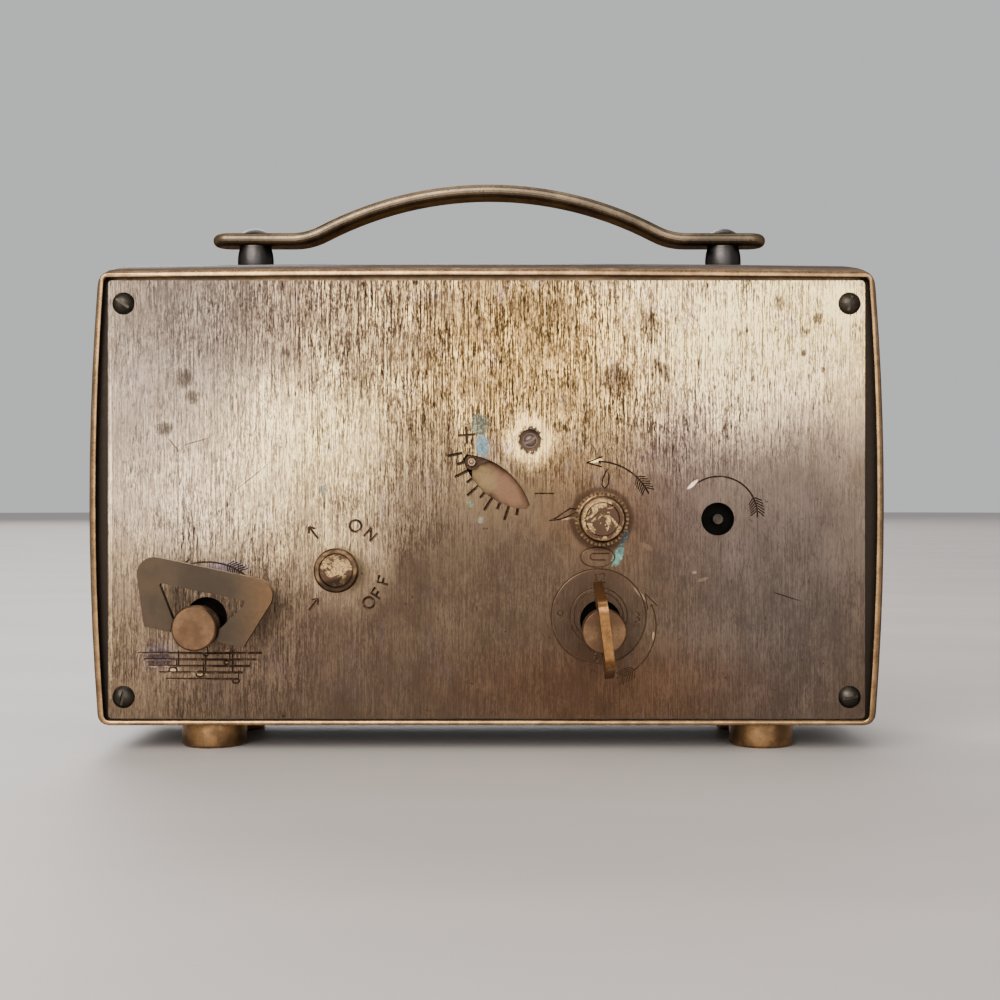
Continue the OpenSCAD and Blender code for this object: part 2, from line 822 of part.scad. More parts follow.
module music_key_loop() {
    color("darkkhaki") in_case() at_pivot(music, -music_key_turn, 0)
        key_loop(9.95, music_loop_w, 3.3, music_loop_w - 4.8);
}

ratchet_r = 5.6;
module going_arbor() {
    color("silver") in_case() {
        rod_between(going, going_r, move_out - 0.6, back_out + 4.9);
        on_axis(going, ratchet_y[0]) linear_extrude(ratchet_y[1]) ratchet(ratchet_r, 20, 0.9);
    }
}

click_gap = 0.12;
click_at = polar(going, ratchet_r + 4.4, 200);
module great_wheel() {
    color("gold") in_case() {
        wheel(going, great_y, great_m, great_z, bearing(going, centre) + 180 / great_z, going_r + play,
            11.8, 15, 5, 3);
        rod_between(click_at, 0.8, great_y[0] + great_y[1] - 0.01, ratchet_y[0] + ratchet_y[1] + 0.4);
    }
}

// Pawl that points at a ratchet wheel and stops just short of its teeth
module click(p, pivot, reach, y) {
    a = bearing(pivot, p);
    slab(y[0], y[1]) difference() {
        union() {
            translate(pivot) circle(1.6);
            translate(pivot) rotate(a) translate([0, -0.55]) square([reach, 1.1]);
        }
        translate(pivot) circle(0.8 + play);
    }
}

module going_click() {
    color("steelblue") in_case() click(going, click_at, 4.4 - click_gap, ratchet_y);
}

// Arbor with its wheel and the leaves that the next larger wheel drives
module train_arbor(p, pin, pin_y, first_pin) {
    rod_between(p, thin_r, move_out + 0.1, rear_out - 0.1);
    if (pin > 0)
        wheel(p, pin_y, pin, leaf_z, first_pin, thin_r - 0.1);
}

module centre_wheel() {
    color("gold") in_case() {
        wheel(centre, [great_y[0] - 0.3, centre_y[0] - great_y[0] + 0.3], great_m, centre_pin_z,
            bearing(centre, going), arbor_r + play);
        wheel(centre, centre_y, centre_m, centre_z, bearing(centre, third), arbor_r + play,
            4.4, 7.8, 4, 1.2);
    }
}

module third_wheel() {
    color("gold") in_case() {
        train_arbor(third, centre_m, [centre_y[0] - 0.5, 1.8], bearing(third, centre) + 180 / leaf_z);
        wheel(third, third_y, third_m, third_z, bearing(third, fourth), thin_r - 0.1, 2, 7, 4, 1);
    }
}

module fourth_wheel() {
    color("gold") in_case() {
        train_arbor(fourth, third_m, [third_y[0] - 0.5, 1.8], bearing(fourth, third) + 180 / leaf_z);
        wheel(fourth, fourth_y, fourth_m, fourth_z, bearing(fourth, escape), thin_r - 0.1, 2, 6.8, 4, 1);
    }
}

module escape_wheel() {
    color("gold") in_case() {
        train_arbor(escape, fourth_m, [fourth_y[0] - 0.5, 1.8], bearing(escape, fourth) + 180 / leaf_z);
        on_axis(escape, escape_y[0]) linear_extrude(escape_y[1]) difference() {
            polygon([for (i = [0:escape_z - 1], k = [0:2])
                polar([0, 0], [escape_r, escape_r, escape_r - 1.3][k],
                    360 * (i + [0, 0.1, 0.22][k]) / escape_z)]);
            crossings(1.4, 2.7, 4, 0.7);
        }
    }
}

pallet_gap = 0.6;
roller_r = 2.2;
roller_pin = 1.6;
module pallet_lever() {
    away = bearing(lever, escape);
    to_balance = bearing(lever, balance);
    fork = norm(balance - lever) - roller_pin - 0.45;
    anchor = norm(escape - lever);
    color("silver") in_case() {
        rod_between(lever, thin_r, move_out + 0.1, rear_out - 0.1);
        slab(escape_y[0], escape_y[1]) {
            translate(lever) circle(1.1);
            translate(lever) rotate(to_balance) translate([0, -0.45]) square([fork - 0.8, 0.9]);
            translate(lever) rotate(to_balance) translate([fork - 1.2, -1]) difference() {
                square([1.2, 2]);
                translate([0.5, 0.5]) square([1.2, 1]);
            }
            translate(lever) rotate(away) translate([0, -0.6])
                square([anchor - escape_r - pallet_gap - 0.3, 1.2]);
            // Anchor arms that end in the two pallets
            translate(lever) rotate(away) difference() {
                translate([anchor, 0]) circle(escape_r + pallet_gap + 1.1);
                translate([anchor, 0]) circle(escape_r + pallet_gap);
                translate([anchor, -10]) square([20, 20]);
                translate([anchor - 2.2, -10]) square([20, 20]);
            }
        }
    }
}

module balance_wheel() {
    color("gold") in_case() {
        on_axis(balance, balance_y[0]) linear_extrude(balance_y[1]) difference() {
            circle(balance_r);
            crossings(1.8, balance_r - 1.2, 2, 1.4);
        }
        rod_between(balance, thin_r, move_out + 0.1, rear_in + 0.6);
        rod(balance, roller_r, escape_y[0] + 1.3, 0.6);
        rod(polar(balance, roller_pin, bearing(balance, lever)), 0.22, escape_y[0] + 0.1, 1.3);
        rod_between(balance, 1.1, balance_y[0], hair_y[0] + hair_y[1]);
    }
}

// Regulator index with its pin in the leaf slot and its two curb pins at the hairspring
module regulator() {
    color("peru") in_case() {
        slab(regulator_y[0], regulator_y[1]) difference() {
            union() {
                translate(balance) circle(3.2);
                translate(balance) rotate(regulator_rest) translate([0, -1]) square([12.5, 2]);
                translate(regulator_pin) circle(1.5);
                translate(balance) rotate(regulator_rest) translate([curb_r, 0]) circle(1.3);
            }
            translate(balance) circle(screw_boss_r + play);
        }
        // The pin ends in a hollow rivet
        pin_low = regulator_y[0] + 0.1;
        pin_top = back_out - 0.2;
        on_axis(regulator_pin, 0) rotate_extrude() polygon([
            [0, pin_low], [0.95, pin_low], [0.95, pin_top - 0.2], [0.75, pin_top], [0.5, pin_top],
            [0.35, pin_top - 0.3], [0, pin_top - 0.2]
        ]);
        for (d = [-0.4, 0.4])
            rod_between(polar(balance, curb_r + d, regulator_rest), 0.2,
                hair_y[0] + 0.1, regulator_y[0] + 0.1);
    }
}

// Hand setting

module hand_set_knob() {
    foot = back_out + 0.4;
    color("saddlebrown") in_case() {
        difference() {
            union() {
                on_axis(centre, 0) rotate_extrude() polygon([
                    [0, foot], [set_ring_r - 0.6, foot], [set_ring_r - 0.6, foot + 1.6], [4.4, foot + 1.8],
                    [4.6, back_out + set_knob_h - 0.5], [4.2, back_out + set_knob_h],
                    [3.4, back_out + set_knob_h], [3.2, back_out + set_knob_h - 0.3],
                    [0, back_out + set_knob_h - 0.3]
                ]);
                for (i = [0:set_beads - 1])
                    rod(polar(centre, set_ring_r - 0.5, 360 * i / set_beads), 0.45, foot, 1.6, $fn = 8);
            }
            rod_between(centre, arbor_r, foot - 1, foot + 2.6);
        }
    }
}

module centre_arbor() {
    color("silver") in_case() {
        rod_between(centre, arbor_r, minute_hand_y[0] + 0.1, back_out + 0.4 + 2.5);
        rod_between(centre, cannon_r, minute_hand_y[0] + minute_hand_y[1], move_out - 0.1);
        wheel(centre, cannon_y, cannon_m, cannon_z, bearing(centre, minute), arbor_r);
    }
}

module minute_wheel() {
    color("gold") in_case() {
        wheel(minute, [cannon_y[0] + 0.2, 0.7], cannon_m, minute_z,
            bearing(minute, centre) + 180 / minute_z, thin_r + play, 3, 6, 4, 1);
        wheel(minute, [hour_y[0] - 0.2, cannon_y[0] + 0.2 - hour_y[0] + 0.2], hour_m, minute_pin_z,
            bearing(minute, centre), thin_r + play);
    }
}

module hour_wheel() {
    color("gold") in_case() {
        wheel(centre, hour_y, hour_m, hour_z, bearing(centre, minute) + 180 / hour_z, cannon_r + play,
            3, 6.4, 4, 1);
        pipe(hour_pipe_r, cannon_r + play, hour_hand_y[0] + 0.1, hour_y[0] + 0.1);
    }
}

// Pipe round the centre arbor, from depth y0 to y1, that carries a hand
module pipe(outer, inner, y0, y1) {
    on_axis(centre, y0) linear_extrude(y1 - y0) difference() {
        circle(outer);
        circle(inner);
    }
}

// A hand with a hub, drawn pointing along +z and turned to the hour
module hand(y, hub, bore, length, width, turn) {
    on_axis(centre, y[0]) linear_extrude(y[1]) rotate(-90 + turn) difference() {
        union() {
            circle(hub);
            polygon([[0, -0.5], [length * 0.25, -0.5], [length * 0.5, -width / 2], [length, 0],
                [length * 0.5, width / 2], [length * 0.25, 0.5], [0, 0.5]]);
        }
        if (bore > 0)
            circle(bore);
    }
}

module minute_hand() {
    color("black") in_case() hand(minute_hand_y, 2, arbor_r, dial_r - 5.5, 1.8, -60);
}

module hour_hand() {
    color("black") in_case() hand(hour_hand_y, 3.1, hour_pipe_r, dial_r - 13, 2.6, 55);
}

module alarm_hand() {
    color("black") in_case() hand(alarm_hand_y, 3.7, alarm_pipe_r, dial_r - 16, 1.6, 180);
}

module alarm_wheel() {
    color("gold") in_case() {
        wheel(centre, alarm_wheel_y, alarm_m, alarm_z, bearing(centre, alarm), hour_pipe_r + play,
            4.5, 17, 4, 2);
        pipe(alarm_pipe_r, hour_pipe_r + play, alarm_hand_y[0] + 0.1, alarm_wheel_y[0] + 0.1);
    }
}

module alarm_arbor() {
    color("silver") in_case() {
        rod_between(alarm, arbor_r, alarm_wheel_y[0] - 0.2, back_out + 0.3);
        wheel(alarm, [alarm_wheel_y[0] - 0.2, 1.1], alarm_m, alarm_pin_z,
            bearing(alarm, centre) + 180 / alarm_pin_z, arbor_r - 0.1);
    }
}

// Handle

half_flat = post_span / 2;
// The barrel spacers stand on the crown with their flat underside
ball_bulge = 0.5;
ball_foot_r = ball_r - ball_bulge;
strap_low = case_top + crown(half_flat - ball_foot_r) + 0.025 + ball_h;
strap_mid = strap_low + strap_t / 2;
post_screw_r = 1.5;
// The strap's middle line: a flat end, a small reverse bend, then one wide arch
arch_r = 76.7;
bend_r = 14;
arch_c = handle_top - strap_t / 2 - arch_r;
bend_x = sqrt(pow(arch_r + bend_r, 2) - pow(strap_mid + bend_r - arch_c, 2));
bend_a = atan2(strap_mid + bend_r - arch_c, bend_x);
half_line = concat(
    [[(handle_l - strap_w) / 2, strap_mid, 0], [half_flat, strap_mid, 0]],
    [for (i = [0:6]) let(a = -90 - (90 - bend_a) * i / 6)
        [bend_x + bend_r * cos(a), strap_mid + bend_r + bend_r * sin(a), a + 90]],
    [for (i = [1:14]) let(a = bend_a + (90 - bend_a) * i / 14)
        [arch_r * cos(a), arch_c + arch_r * sin(a), a - 90]]
);
strap_line = concat(
    half_line,
    [for (i = [len(half_line) - 2:-1:0]) [-half_line[i][0], half_line[i][1], -half_line[i][2]]]
);
// Cross-section with nearly half-round edges, as [along depth, across thickness]
edge_r = strap_t / 2 - 0.05;
edge_at = [strap_w / 2 - edge_r, strap_t / 2 - edge_r];
edge_steps = 5;
strap_section = concat(
    arc(edge_at[0], edge_at[1], edge_r, 0, 90, edge_steps),
    arc(-edge_at[0], edge_at[1], edge_r, 90, 180, edge_steps),
    arc(-edge_at[0], -edge_at[1], edge_r, 180, 270, edge_steps),
    arc(edge_at[0], -edge_at[1], edge_r, 270, 360, edge_steps)
);

module strap() {
    n = len(strap_section);
    m = len(strap_line);
    points = [for (s = strap_line, q = strap_section)
        [s[0] - q[1] * sin(s[2]), q[0], s[1] + q[1] * cos(s[2])]];
    sides = [for (i = [0:m - 2], k = [0:n - 1]) let(a = i * n + k, b = i * n + (k + 1) % n)
        [a, b, b + n, a + n]];
    caps = [[for (k = [n - 1:-1:0]) k], [for (k = [0:n - 1]) (m - 1) * n + k]];
    polyhedron(points = points, faces = concat(sides, caps), convexity = 4);
}

// Round end of the strap, with the edge of its cross-section
module strap_end() {
    rotate_extrude() polygon(concat(
        [[0, -strap_t / 2]],
        arc(edge_at[0], -edge_at[1], edge_r, -90, 0, edge_steps),
        arc(edge_at[0], edge_at[1], edge_r, 0, 90, edge_steps),
        [[0, strap_t / 2]]
    ));
}

module handle() {
    color("dimgray") in_case() difference() {
        union() {
            strap();
            for (s = [-1, 1])
                translate([s * (handle_l - strap_w) / 2, 0, strap_mid]) strap_end();
        }
        for (x = [-half_flat, half_flat])
            translate([x, 0, strap_low - 1]) cylinder(h = strap_t + 2, r = post_screw_r + 0.1);
    }
}

module handle_spacers() {
    bore = post_screw_r + 0.1;
    barrel_arc_r = (pow(ball_h / 2, 2) + pow(ball_bulge, 2)) / (2 * ball_bulge);
    barrel_a = asin(ball_h / 2 / barrel_arc_r);
    color("dimgray") in_case()
        for (x = [-half_flat, half_flat])
            translate([x, 0, strap_low - ball_h]) rotate_extrude() polygon(concat(
                [[bore, 0]],
                arc(ball_r - barrel_arc_r, ball_h / 2, barrel_arc_r, -barrel_a, barrel_a, 10),
                [[bore, ball_h]]
            ));
}

module handle_screws() {
    head = strap_low + strap_t;
    foot = case_top - wall - 3;
    head_r = 3.2;
    head_h = 1.3;
    dome_r = (head_r * head_r + head_h * head_h) / (2 * head_h);
    slot_w = 0.6;
    slot_depth = 0.6;
    color("gray") in_case()
        for (x = [-half_flat, half_flat])
            translate([x, 0, 0]) {
                translate([0, 0, foot]) cylinder(h = head - foot + 0.1, r = post_screw_r);
                translate([0, 0, head]) difference() {
                    intersection() {
                        cylinder(h = head_h, r = head_r);
                        translate([0, 0, head_h - dome_r]) sphere(dome_r);
                    }
                    translate([-head_r - 1, -slot_w / 2, head_h - slot_depth])
                        cube([2 * head_r + 2, slot_w, slot_depth + 1]);
                }
            }
}

module handle_nuts() {
    color("silver") in_case()
        for (x = [-half_flat, half_flat])
            translate([x, 0, case_top - wall - 2.4]) difference() {
                cylinder(h = 2.4, r = 3.1, $fn = 6);
                translate([0, 0, -1]) cylinder(h = 5, r = post_screw_r + 0.02);
            }
}

// Music box

module music_bedplate() {
    posts = [[bed_left + 4, bed_low + 4], [bed_right - 4, bed_low + 4],
        [bed_left + 4, bed_high - 4], [bed_right - 4, bed_high - 4]];
    stand = bed_y[0] - comb_y[0] - comb_y[1];
    color("silver") in_case() {
        slab(bed_y[0], bed_y[1]) difference() {
            translate([bed_left, bed_low]) square([bed_right - bed_left, bed_high - bed_low]);
            translate(music) circle(going_r + play);
            translate(switch_at) circle(switch_rod_r + 0.2);
        }
        for (p = posts)
            rod_between(p, 2.2, bed_y[0] + bed_y[1] - 0.01, back_in);
        // Block under the comb
        difference() {
            translate([comb_left, comb_y[0] + comb_y[1], cyl_low + 1])
                cube([9, stand + 0.01, cyl_len - 2]);
            for (z = comb_screw_z)
                rod_between([comb_left + 4.5, z], 1.05, comb_y[0], comb_y[0] + 8);
        }
        // Bearings of the cylinder, the governor and the fan
        difference() {
            union() {
                bracket(music[0] - 3, music[0] + 3, low_bracket);
                bracket(music[0] - 3, gov[0] + 3, high_bracket);
                bracket(gov[0] - 3, gov[0] + 3, top_bracket);
            }
            translate([music[0], cyl_axis_y, low_bracket - 1]) cylinder(h = 60, r = arbor_r + play);
            translate([gov[0], cyl_axis_y, low_bracket - 1]) cylinder(h = 60, r = thin_r + play);
        }
        difference() {
            for (x = [fan_x - 5, gov[0] + worm_l / 2 + 0.3])
                translate([x, fan_axis_y - 1.6, fan_z - 1.6])
                    cube([bracket_t, bed_y[0] - fan_axis_y + 1.61, 3.2]);
            translate([fan_x - 10, fan_axis_y, fan_z]) rotate([0, 90, 0])
                cylinder(h = 60, r = thin_r + play);
        }
        rod_between(music_click_at, 0.8, bed_y[0] + 0.01, music_ratchet_y[0] - 0.4);
    }
}

module bracket(x0, x1, z) {
    translate([x0, cyl_axis_y - 2.4, z]) cube([x1 - x0, bed_y[0] - cyl_axis_y + 2.41, bracket_t]);
}

comb_screw_z = [cyl_low + cyl_len * 0.28, cyl_low + cyl_len * 0.72];
module comb() {
    pitch = (cyl_len - 2) / comb_teeth;
    cut = 0.35;
    color("lightsteelblue") in_case() slab(comb_y[0], comb_y[1]) difference() {
        translate([comb_left, cyl_low + 1]) square([comb_tip - comb_left, cyl_len - 2]);
        // The slots run deeper towards the low notes
        for (i = [1:comb_teeth - 1])
            translate([comb_root + 4 * i / comb_teeth, cyl_low + 1 + pitch * i - cut / 2])
                square([20, cut]);
        for (z = comb_screw_z)
            translate([comb_left + 4.5, z]) circle(1.1);
    }
}

module comb_screws() {
    color("silver") in_case()
        for (z = comb_screw_z) {
            rod_between([comb_left + 4.5, z], 1, comb_y[0] - 0.01, comb_y[0] + 6);
            rod_between([comb_left + 4.5, z], 2, comb_y[0] - 1.1, comb_y[0]);
        }
}

barrel_front = barrel_pitch_y + 0.6;
barrel_back = bed_y[0] - 2.6;
music_ratchet_y = [barrel_back + 0.5, 0.9];
module music_barrel() {
    pitch = 360 / barrel_z;
    half = PI * barrel_m / 2 * 0.86;
    color("gold") in_case() {
        // Drum with its cover
        on_axis(music, 0) rotate_extrude() polygon([
            [going_r + play, barrel_front], [crown_r + 0.7, barrel_front], [crown_r + 0.7, barrel_front + 1],
            [barrel_r, barrel_front + 1], [barrel_r, barrel_back], [going_r + play, barrel_back],
            [going_r + play, barrel_back - 0.8], [barrel_r - 0.8, barrel_back - 0.8],
            [barrel_r - 0.8, barrel_front + 1], [going_r + play, barrel_front + 1]
        ]);
        // Crown teeth that stand towards the front
        for (i = [0:barrel_z - 1])
            translate([music[0], 0, music[1]]) rotate([0, pitch * i, 0])
                translate([0, 0, crown_r - 0.6]) linear_extrude(1.2) polygon([
                    [-half / 2 - 0.16, barrel_front + 0.01], [-half / 2 + 0.2, barrel_pitch_y - crown_add],
                    [half / 2 - 0.2, barrel_pitch_y - crown_add], [half / 2 + 0.16, barrel_front + 0.01]
                ]);
    }
}

module music_mainspring() {
    band = 0.3;
    turns = 8;
    color("steelblue") in_case() on_axis(music, barrel_front + 1.3)
        linear_extrude(barrel_back - barrel_front - 2.4)
            polygon(spiral(going_r + 0.4, barrel_r - 1.2, turns, band, turns * 24));
}

module music_arbor() {
    color("silver") in_case() {
        rod_between(music, going_r, barrel_front - 0.8, back_out + 4.9);
        on_axis(music, music_ratchet_y[0]) linear_extrude(music_ratchet_y[1]) ratchet(ratchet_r, 20, 0.9);
    }
}

music_click_at = polar(music, ratchet_r + 4.4, 235);
module music_click() {
    color("steelblue") in_case() click(music, music_click_at, 4.4 - click_gap, music_ratchet_y);
}

golden = 137.508;
module music_cylinder() {
    pins = 4 * comb_teeth;
    pitch = (cyl_len - 2) / comb_teeth;
    gear_low = music[1] + crown_r - 0.6;
    color("gold") in_case() translate([music[0], cyl_axis_y, 0]) {
        translate([0, 0, cyl_low]) cylinder(h = cyl_len, r = cyl_r);
        translate([0, 0, gear_low - 0.4])
            cylinder(h = high_bracket + bracket_t + 0.3 - gear_low + 0.4, r = arbor_r);
        translate([0, 0, gear_low]) linear_extrude(1.2) teeth(barrel_m, cyl_pin_z, 90 + 180 / cyl_pin_z);
        translate([0, 0, cyl_gear_low]) linear_extrude(1) teeth(gov_m, cyl_gear_z, 0);
        // Pins in rows, one row for each tooth of the comb
        for (i = [0:pins - 1])
            translate([0, 0, cyl_low + 1 + pitch * (i % comb_teeth + 0.5)]) rotate([0, 90, golden * i])
                cylinder(h = cyl_r + pin_h, r = 0.2, $fn = 6);
    }
}

module governor_wheel() {
    arbor_low = cyl_gear_low - 0.8;
    color("gold") in_case() translate([gov[0], cyl_axis_y, 0]) {
        translate([0, 0, arbor_low]) cylinder(h = top_bracket + bracket_t + 0.2 - arbor_low, r = thin_r);
        translate([0, 0, cyl_gear_low - 0.3]) linear_extrude(1.6)
            teeth(gov_m, gov_pin_z, 180 + 180 / gov_pin_z);
        translate([0, 0, gov_wheel_low]) linear_extrude(1.2) teeth(worm_wheel_m, worm_wheel_z, 90);
    }
}

module governor_fan() {
    end = gov[0] + worm_l / 2 + 0.3 + bracket_t;
    color("silver") in_case() translate([0, fan_axis_y, fan_z]) {
        translate([fan_x - 5, 0, 0]) rotate([0, 90, 0]) cylinder(h = end - fan_x + 5, r = thin_r);
        translate([gov[0] - worm_l / 2, 0, 0]) rotate([0, 90, 0]) cylinder(h = worm_l, r = worm_r);
        translate([fan_x - 3, -fan_r, -0.2]) cube([5, 2 * fan_r, 0.4]);
    }
}

switch_rod_r = 1.2;
module on_off_knob() {
    face = back_out + switch_h;
    base = face - 3.8;
    color("saddlebrown") in_case() {
        on_axis(switch_at, 0) rotate_extrude() polygon([
            [0, base], [2.6, base], [3.4, base + 0.8], [switch_r, base + 1.6], [switch_r, face - 0.3],
            [switch_r - 0.3, face], [switch_r - 1, face], [switch_r - 1.2, face - 0.4], [0, face - 0.4]
        ]);
        rod_between(switch_at, switch_rod_r, arm_y[0] - 1.4, base + 0.1);
    }
}

module stop_arm() {
    bend = [fan_x + 1, cyl_low + 4];
    tip = [fan_x, fan_z];
    color("silver") in_case() slab(arm_y[0], arm_y[1]) difference() {
        union() {
            translate(switch_at) circle(2.4);
            arm_line(switch_at, bend);
            translate(bend) circle(arm_w / 2 + 0.2);
            arm_line(bend, tip);
            translate(tip) circle(arm_w / 2 + 0.2);
        }
        translate(switch_at) circle(switch_rod_r);
    }
}

module arm_line(p, q) {
    translate(p) rotate(bearing(p, q)) translate([0, -arm_w / 2]) square([norm(q - p), arm_w]);
}

case_shell();
feet();
foot_screws();
handle();
handle_spacers();
handle_screws();
handle_nuts();
rear_frame();
back_plate();
back_screws();
front_frame();
front_panel();
bezel();
glass();
dial();
movement_front_plate();
movement_rear_plate();
pillars();
pillar_nuts();
balance_screw();
going_mainspring();
hairspring();
music_bedplate();
comb();
comb_screws();
music_mainspring();
clock_key_hub();
clock_key_loop();
going_arbor();
great_wheel();
going_click();
centre_wheel();
third_wheel();
fourth_wheel();
escape_wheel();
pallet_lever();
balance_wheel();
regulator();
hand_set_knob();
centre_arbor();
minute_wheel();
hour_wheel();
minute_hand();
hour_hand();
alarm_arbor();
alarm_wheel();
alarm_hand();
music_key_hub();
music_key_loop();
music_arbor();
music_click();
music_barrel();
music_cylinder();
governor_wheel();
governor_fan();
on_off_knob();
stop_arm();
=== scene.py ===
# Looks of the musical alarm clock: the finish of every CAD piece, the stamped marks on the
# back plate, the print on the dial, the floor, the light and the camera of the photograph.
import json
import math

import bmesh
import bpy
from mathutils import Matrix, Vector


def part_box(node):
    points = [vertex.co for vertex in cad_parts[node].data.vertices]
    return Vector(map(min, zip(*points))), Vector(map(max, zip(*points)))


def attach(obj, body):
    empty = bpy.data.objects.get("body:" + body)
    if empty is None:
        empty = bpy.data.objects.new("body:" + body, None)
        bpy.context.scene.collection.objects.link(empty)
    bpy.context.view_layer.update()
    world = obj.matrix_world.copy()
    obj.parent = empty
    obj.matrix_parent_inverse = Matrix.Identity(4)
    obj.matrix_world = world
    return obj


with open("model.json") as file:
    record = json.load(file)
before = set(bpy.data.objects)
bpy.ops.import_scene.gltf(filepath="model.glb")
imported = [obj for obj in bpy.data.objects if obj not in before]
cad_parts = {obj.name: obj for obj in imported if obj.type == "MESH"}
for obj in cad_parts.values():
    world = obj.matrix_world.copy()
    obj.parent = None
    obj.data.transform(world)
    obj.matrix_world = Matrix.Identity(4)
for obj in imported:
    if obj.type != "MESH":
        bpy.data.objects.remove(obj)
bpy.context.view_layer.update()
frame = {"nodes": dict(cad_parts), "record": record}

MM = 0.001


# Places, read from the CAD pieces

def middle(node):
    """Middle of a CAD piece's box."""
    low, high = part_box(node)
    return (low + high) / 2


PLATE = middle("back_plate")
CENTRE = middle("centre_arbor")
GOING = middle("going_arbor")
MUSIC = middle("music_arbor")
ALARM = middle("alarm_arbor")
BALANCE = middle("balance_screw")
SWITCH = middle("on_off_knob")
PLATE_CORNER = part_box("back_plate")[1]
PLATE_Y = PLATE_CORNER.y


def seen(point, u=0.0, v=0.0):
    """Place on the back plate in mm from its middle, u to the right and v up as seen from behind."""
    return ((PLATE.x - point.x) / MM + u, (point.z - PLATE.z) / MM + v)


# The upper right screw of the back plate, as seen from behind
UPPER_SCREW = seen(PLATE_CORNER, 147.5, -4.5)


# Material graphs

class Graph:
    """Node tree of one material, with short calls for what the finishes share."""

    def __init__(self, name):
        self.material = bpy.data.materials.new(name)
        self.material.use_nodes = True
        self.tree = self.material.node_tree
        self.tree.nodes.clear()
        self.place = self.add("ShaderNodeTexCoord").outputs["Object"]

    def add(self, kind, inputs=None, **settings):
        node = self.tree.nodes.new(kind)
        for name, value in settings.items():
            setattr(node, name, value)
        for socket, value in (inputs or {}).items():
            self.feed(self.socket(node.inputs, socket), value)
        return node

    @staticmethod
    def socket(sockets, name):
        """Socket of a node by its number or its identifier."""
        if isinstance(name, int):
            return sockets[name]
        return next(s for s in sockets if s.identifier == name or s.name == name)

    def feed(self, socket, value):
        if isinstance(value, bpy.types.NodeSocket):
            self.tree.links.new(value, socket)
        else:
            socket.default_value = rgba(value) if socket.type == "RGBA" else value

    def math(self, operation, *values, clamp=False):
        inputs = dict(enumerate(values))
        return self.add("ShaderNodeMath", inputs, operation=operation, use_clamp=clamp).outputs[0]

    def band(self, value, low, high, to_low=0.0, to_high=1.0):
        """Value taken smoothly from one range to another."""
        inputs = {"Value": value, "From Min": low, "From Max": high, "To Min": to_low, "To Max": to_high}
        node = self.add("ShaderNodeMapRange", inputs, interpolation_type="SMOOTHSTEP")
        return node.outputs["Result"]

    def stretched(self, scale, shift=(0, 0, 0)):
        inputs = {"Vector": self.place, "Scale": scale, "Location": shift}
        return self.add("ShaderNodeMapping", inputs).outputs["Vector"]

    def noise(self, size, detail=4.0, rough=0.6, distort=0.0, shift=(0, 0, 0)):
        """Cloudy noise whose features measure size, in millimetres, along x, y and z."""
        sizes = size if isinstance(size, tuple) else (size,) * 3
        vector = self.stretched([1 / (s * MM) for s in sizes], shift)
        inputs = {"Vector": vector, "Scale": 1.0, "Detail": detail, "Roughness": rough, "Distortion": distort}
        return self.add("ShaderNodeTexNoise", inputs).outputs["Fac"]

    def axis(self, name):
        return self.add("ShaderNodeSeparateXYZ", {"Vector": self.place}).outputs[name]

    def away(self, at, half_u, half_v, turn=0.0):
        """Distance from a place on the back plate, where 1 is the rim of an ellipse."""
        inputs = {
            "Vector": self.place,
            "Location": (PLATE.x - at[0] * MM, 0, PLATE.z + at[1] * MM),
            "Rotation": (0, math.radians(turn), 0),
            "Scale": (half_u * MM, 1e3, half_v * MM),
        }
        vector = self.add("ShaderNodeMapping", inputs, vector_type="TEXTURE").outputs["Vector"]
        return self.add("ShaderNodeVectorMath", {0: vector}, operation="LENGTH").outputs["Value"]

    def blot(self, at, half_u, half_v, turn=0.0, soft=0.5, ragged=0.0, grain=1.0):
        """Mask that is 1 inside an ellipse on the back plate, with a soft or ragged rim."""
        value = self.away(at, half_u, half_v, turn)
        if ragged:
            rough = self.math("MULTIPLY_ADD", self.noise(grain, 3.0), ragged, -ragged / 2)
            value = self.math("ADD", value, rough)
        return self.band(value, 1 + soft / 2, 1 - soft / 2)

    def ramp(self, value, stops):
        """Colour read off a row of (place, colour) stops."""
        node = self.add("ShaderNodeValToRGB", {"Fac": value})
        marks = node.color_ramp.elements
        while len(marks) < len(stops):
            marks.new(0.5)
        for mark, (place, colour) in zip(marks, stops):
            mark.position = place
            mark.color = rgba(colour)
        return node.outputs["Color"]

    def mix(self, factor, first, second, blend="MIX"):
        node = self.add("ShaderNodeMix", data_type="RGBA", blend_type=blend)
        self.feed(self.socket(node.inputs, "Factor_Float"), factor)
        self.feed(self.socket(node.inputs, "A_Color"), first)
        self.feed(self.socket(node.inputs, "B_Color"), second)
        return self.socket(node.outputs, "Result_Color")

    def bump(self, height, distance):
        inputs = {"Height": height, "Distance": distance * MM, "Strength": 1.0}
        return self.add("ShaderNodeBump", inputs).outputs["Normal"]

    def finish(self, colour, roughness, normal=None, **sockets):
        values = {"Base Color": colour, "Roughness": roughness}
        values.update({name.replace("_", " "): value for name, value in sockets.items()})
        if normal is not None:
            values["Normal"] = normal
        shader = self.add("ShaderNodeBsdfPrincipled", values)
        self.add("ShaderNodeOutputMaterial", {"Surface": shader.outputs[0]})
        return self.material


def rgba(colour):
    """Linear colour from an sRGB one in 0 to 255."""
    parts = [c / 255 for c in colour]
    linear = [c / 12.92 if c <= 0.04045 else ((c + 0.055) / 1.055) ** 2.4 for c in parts]
    return (*linear, 1.0)


# Finishes

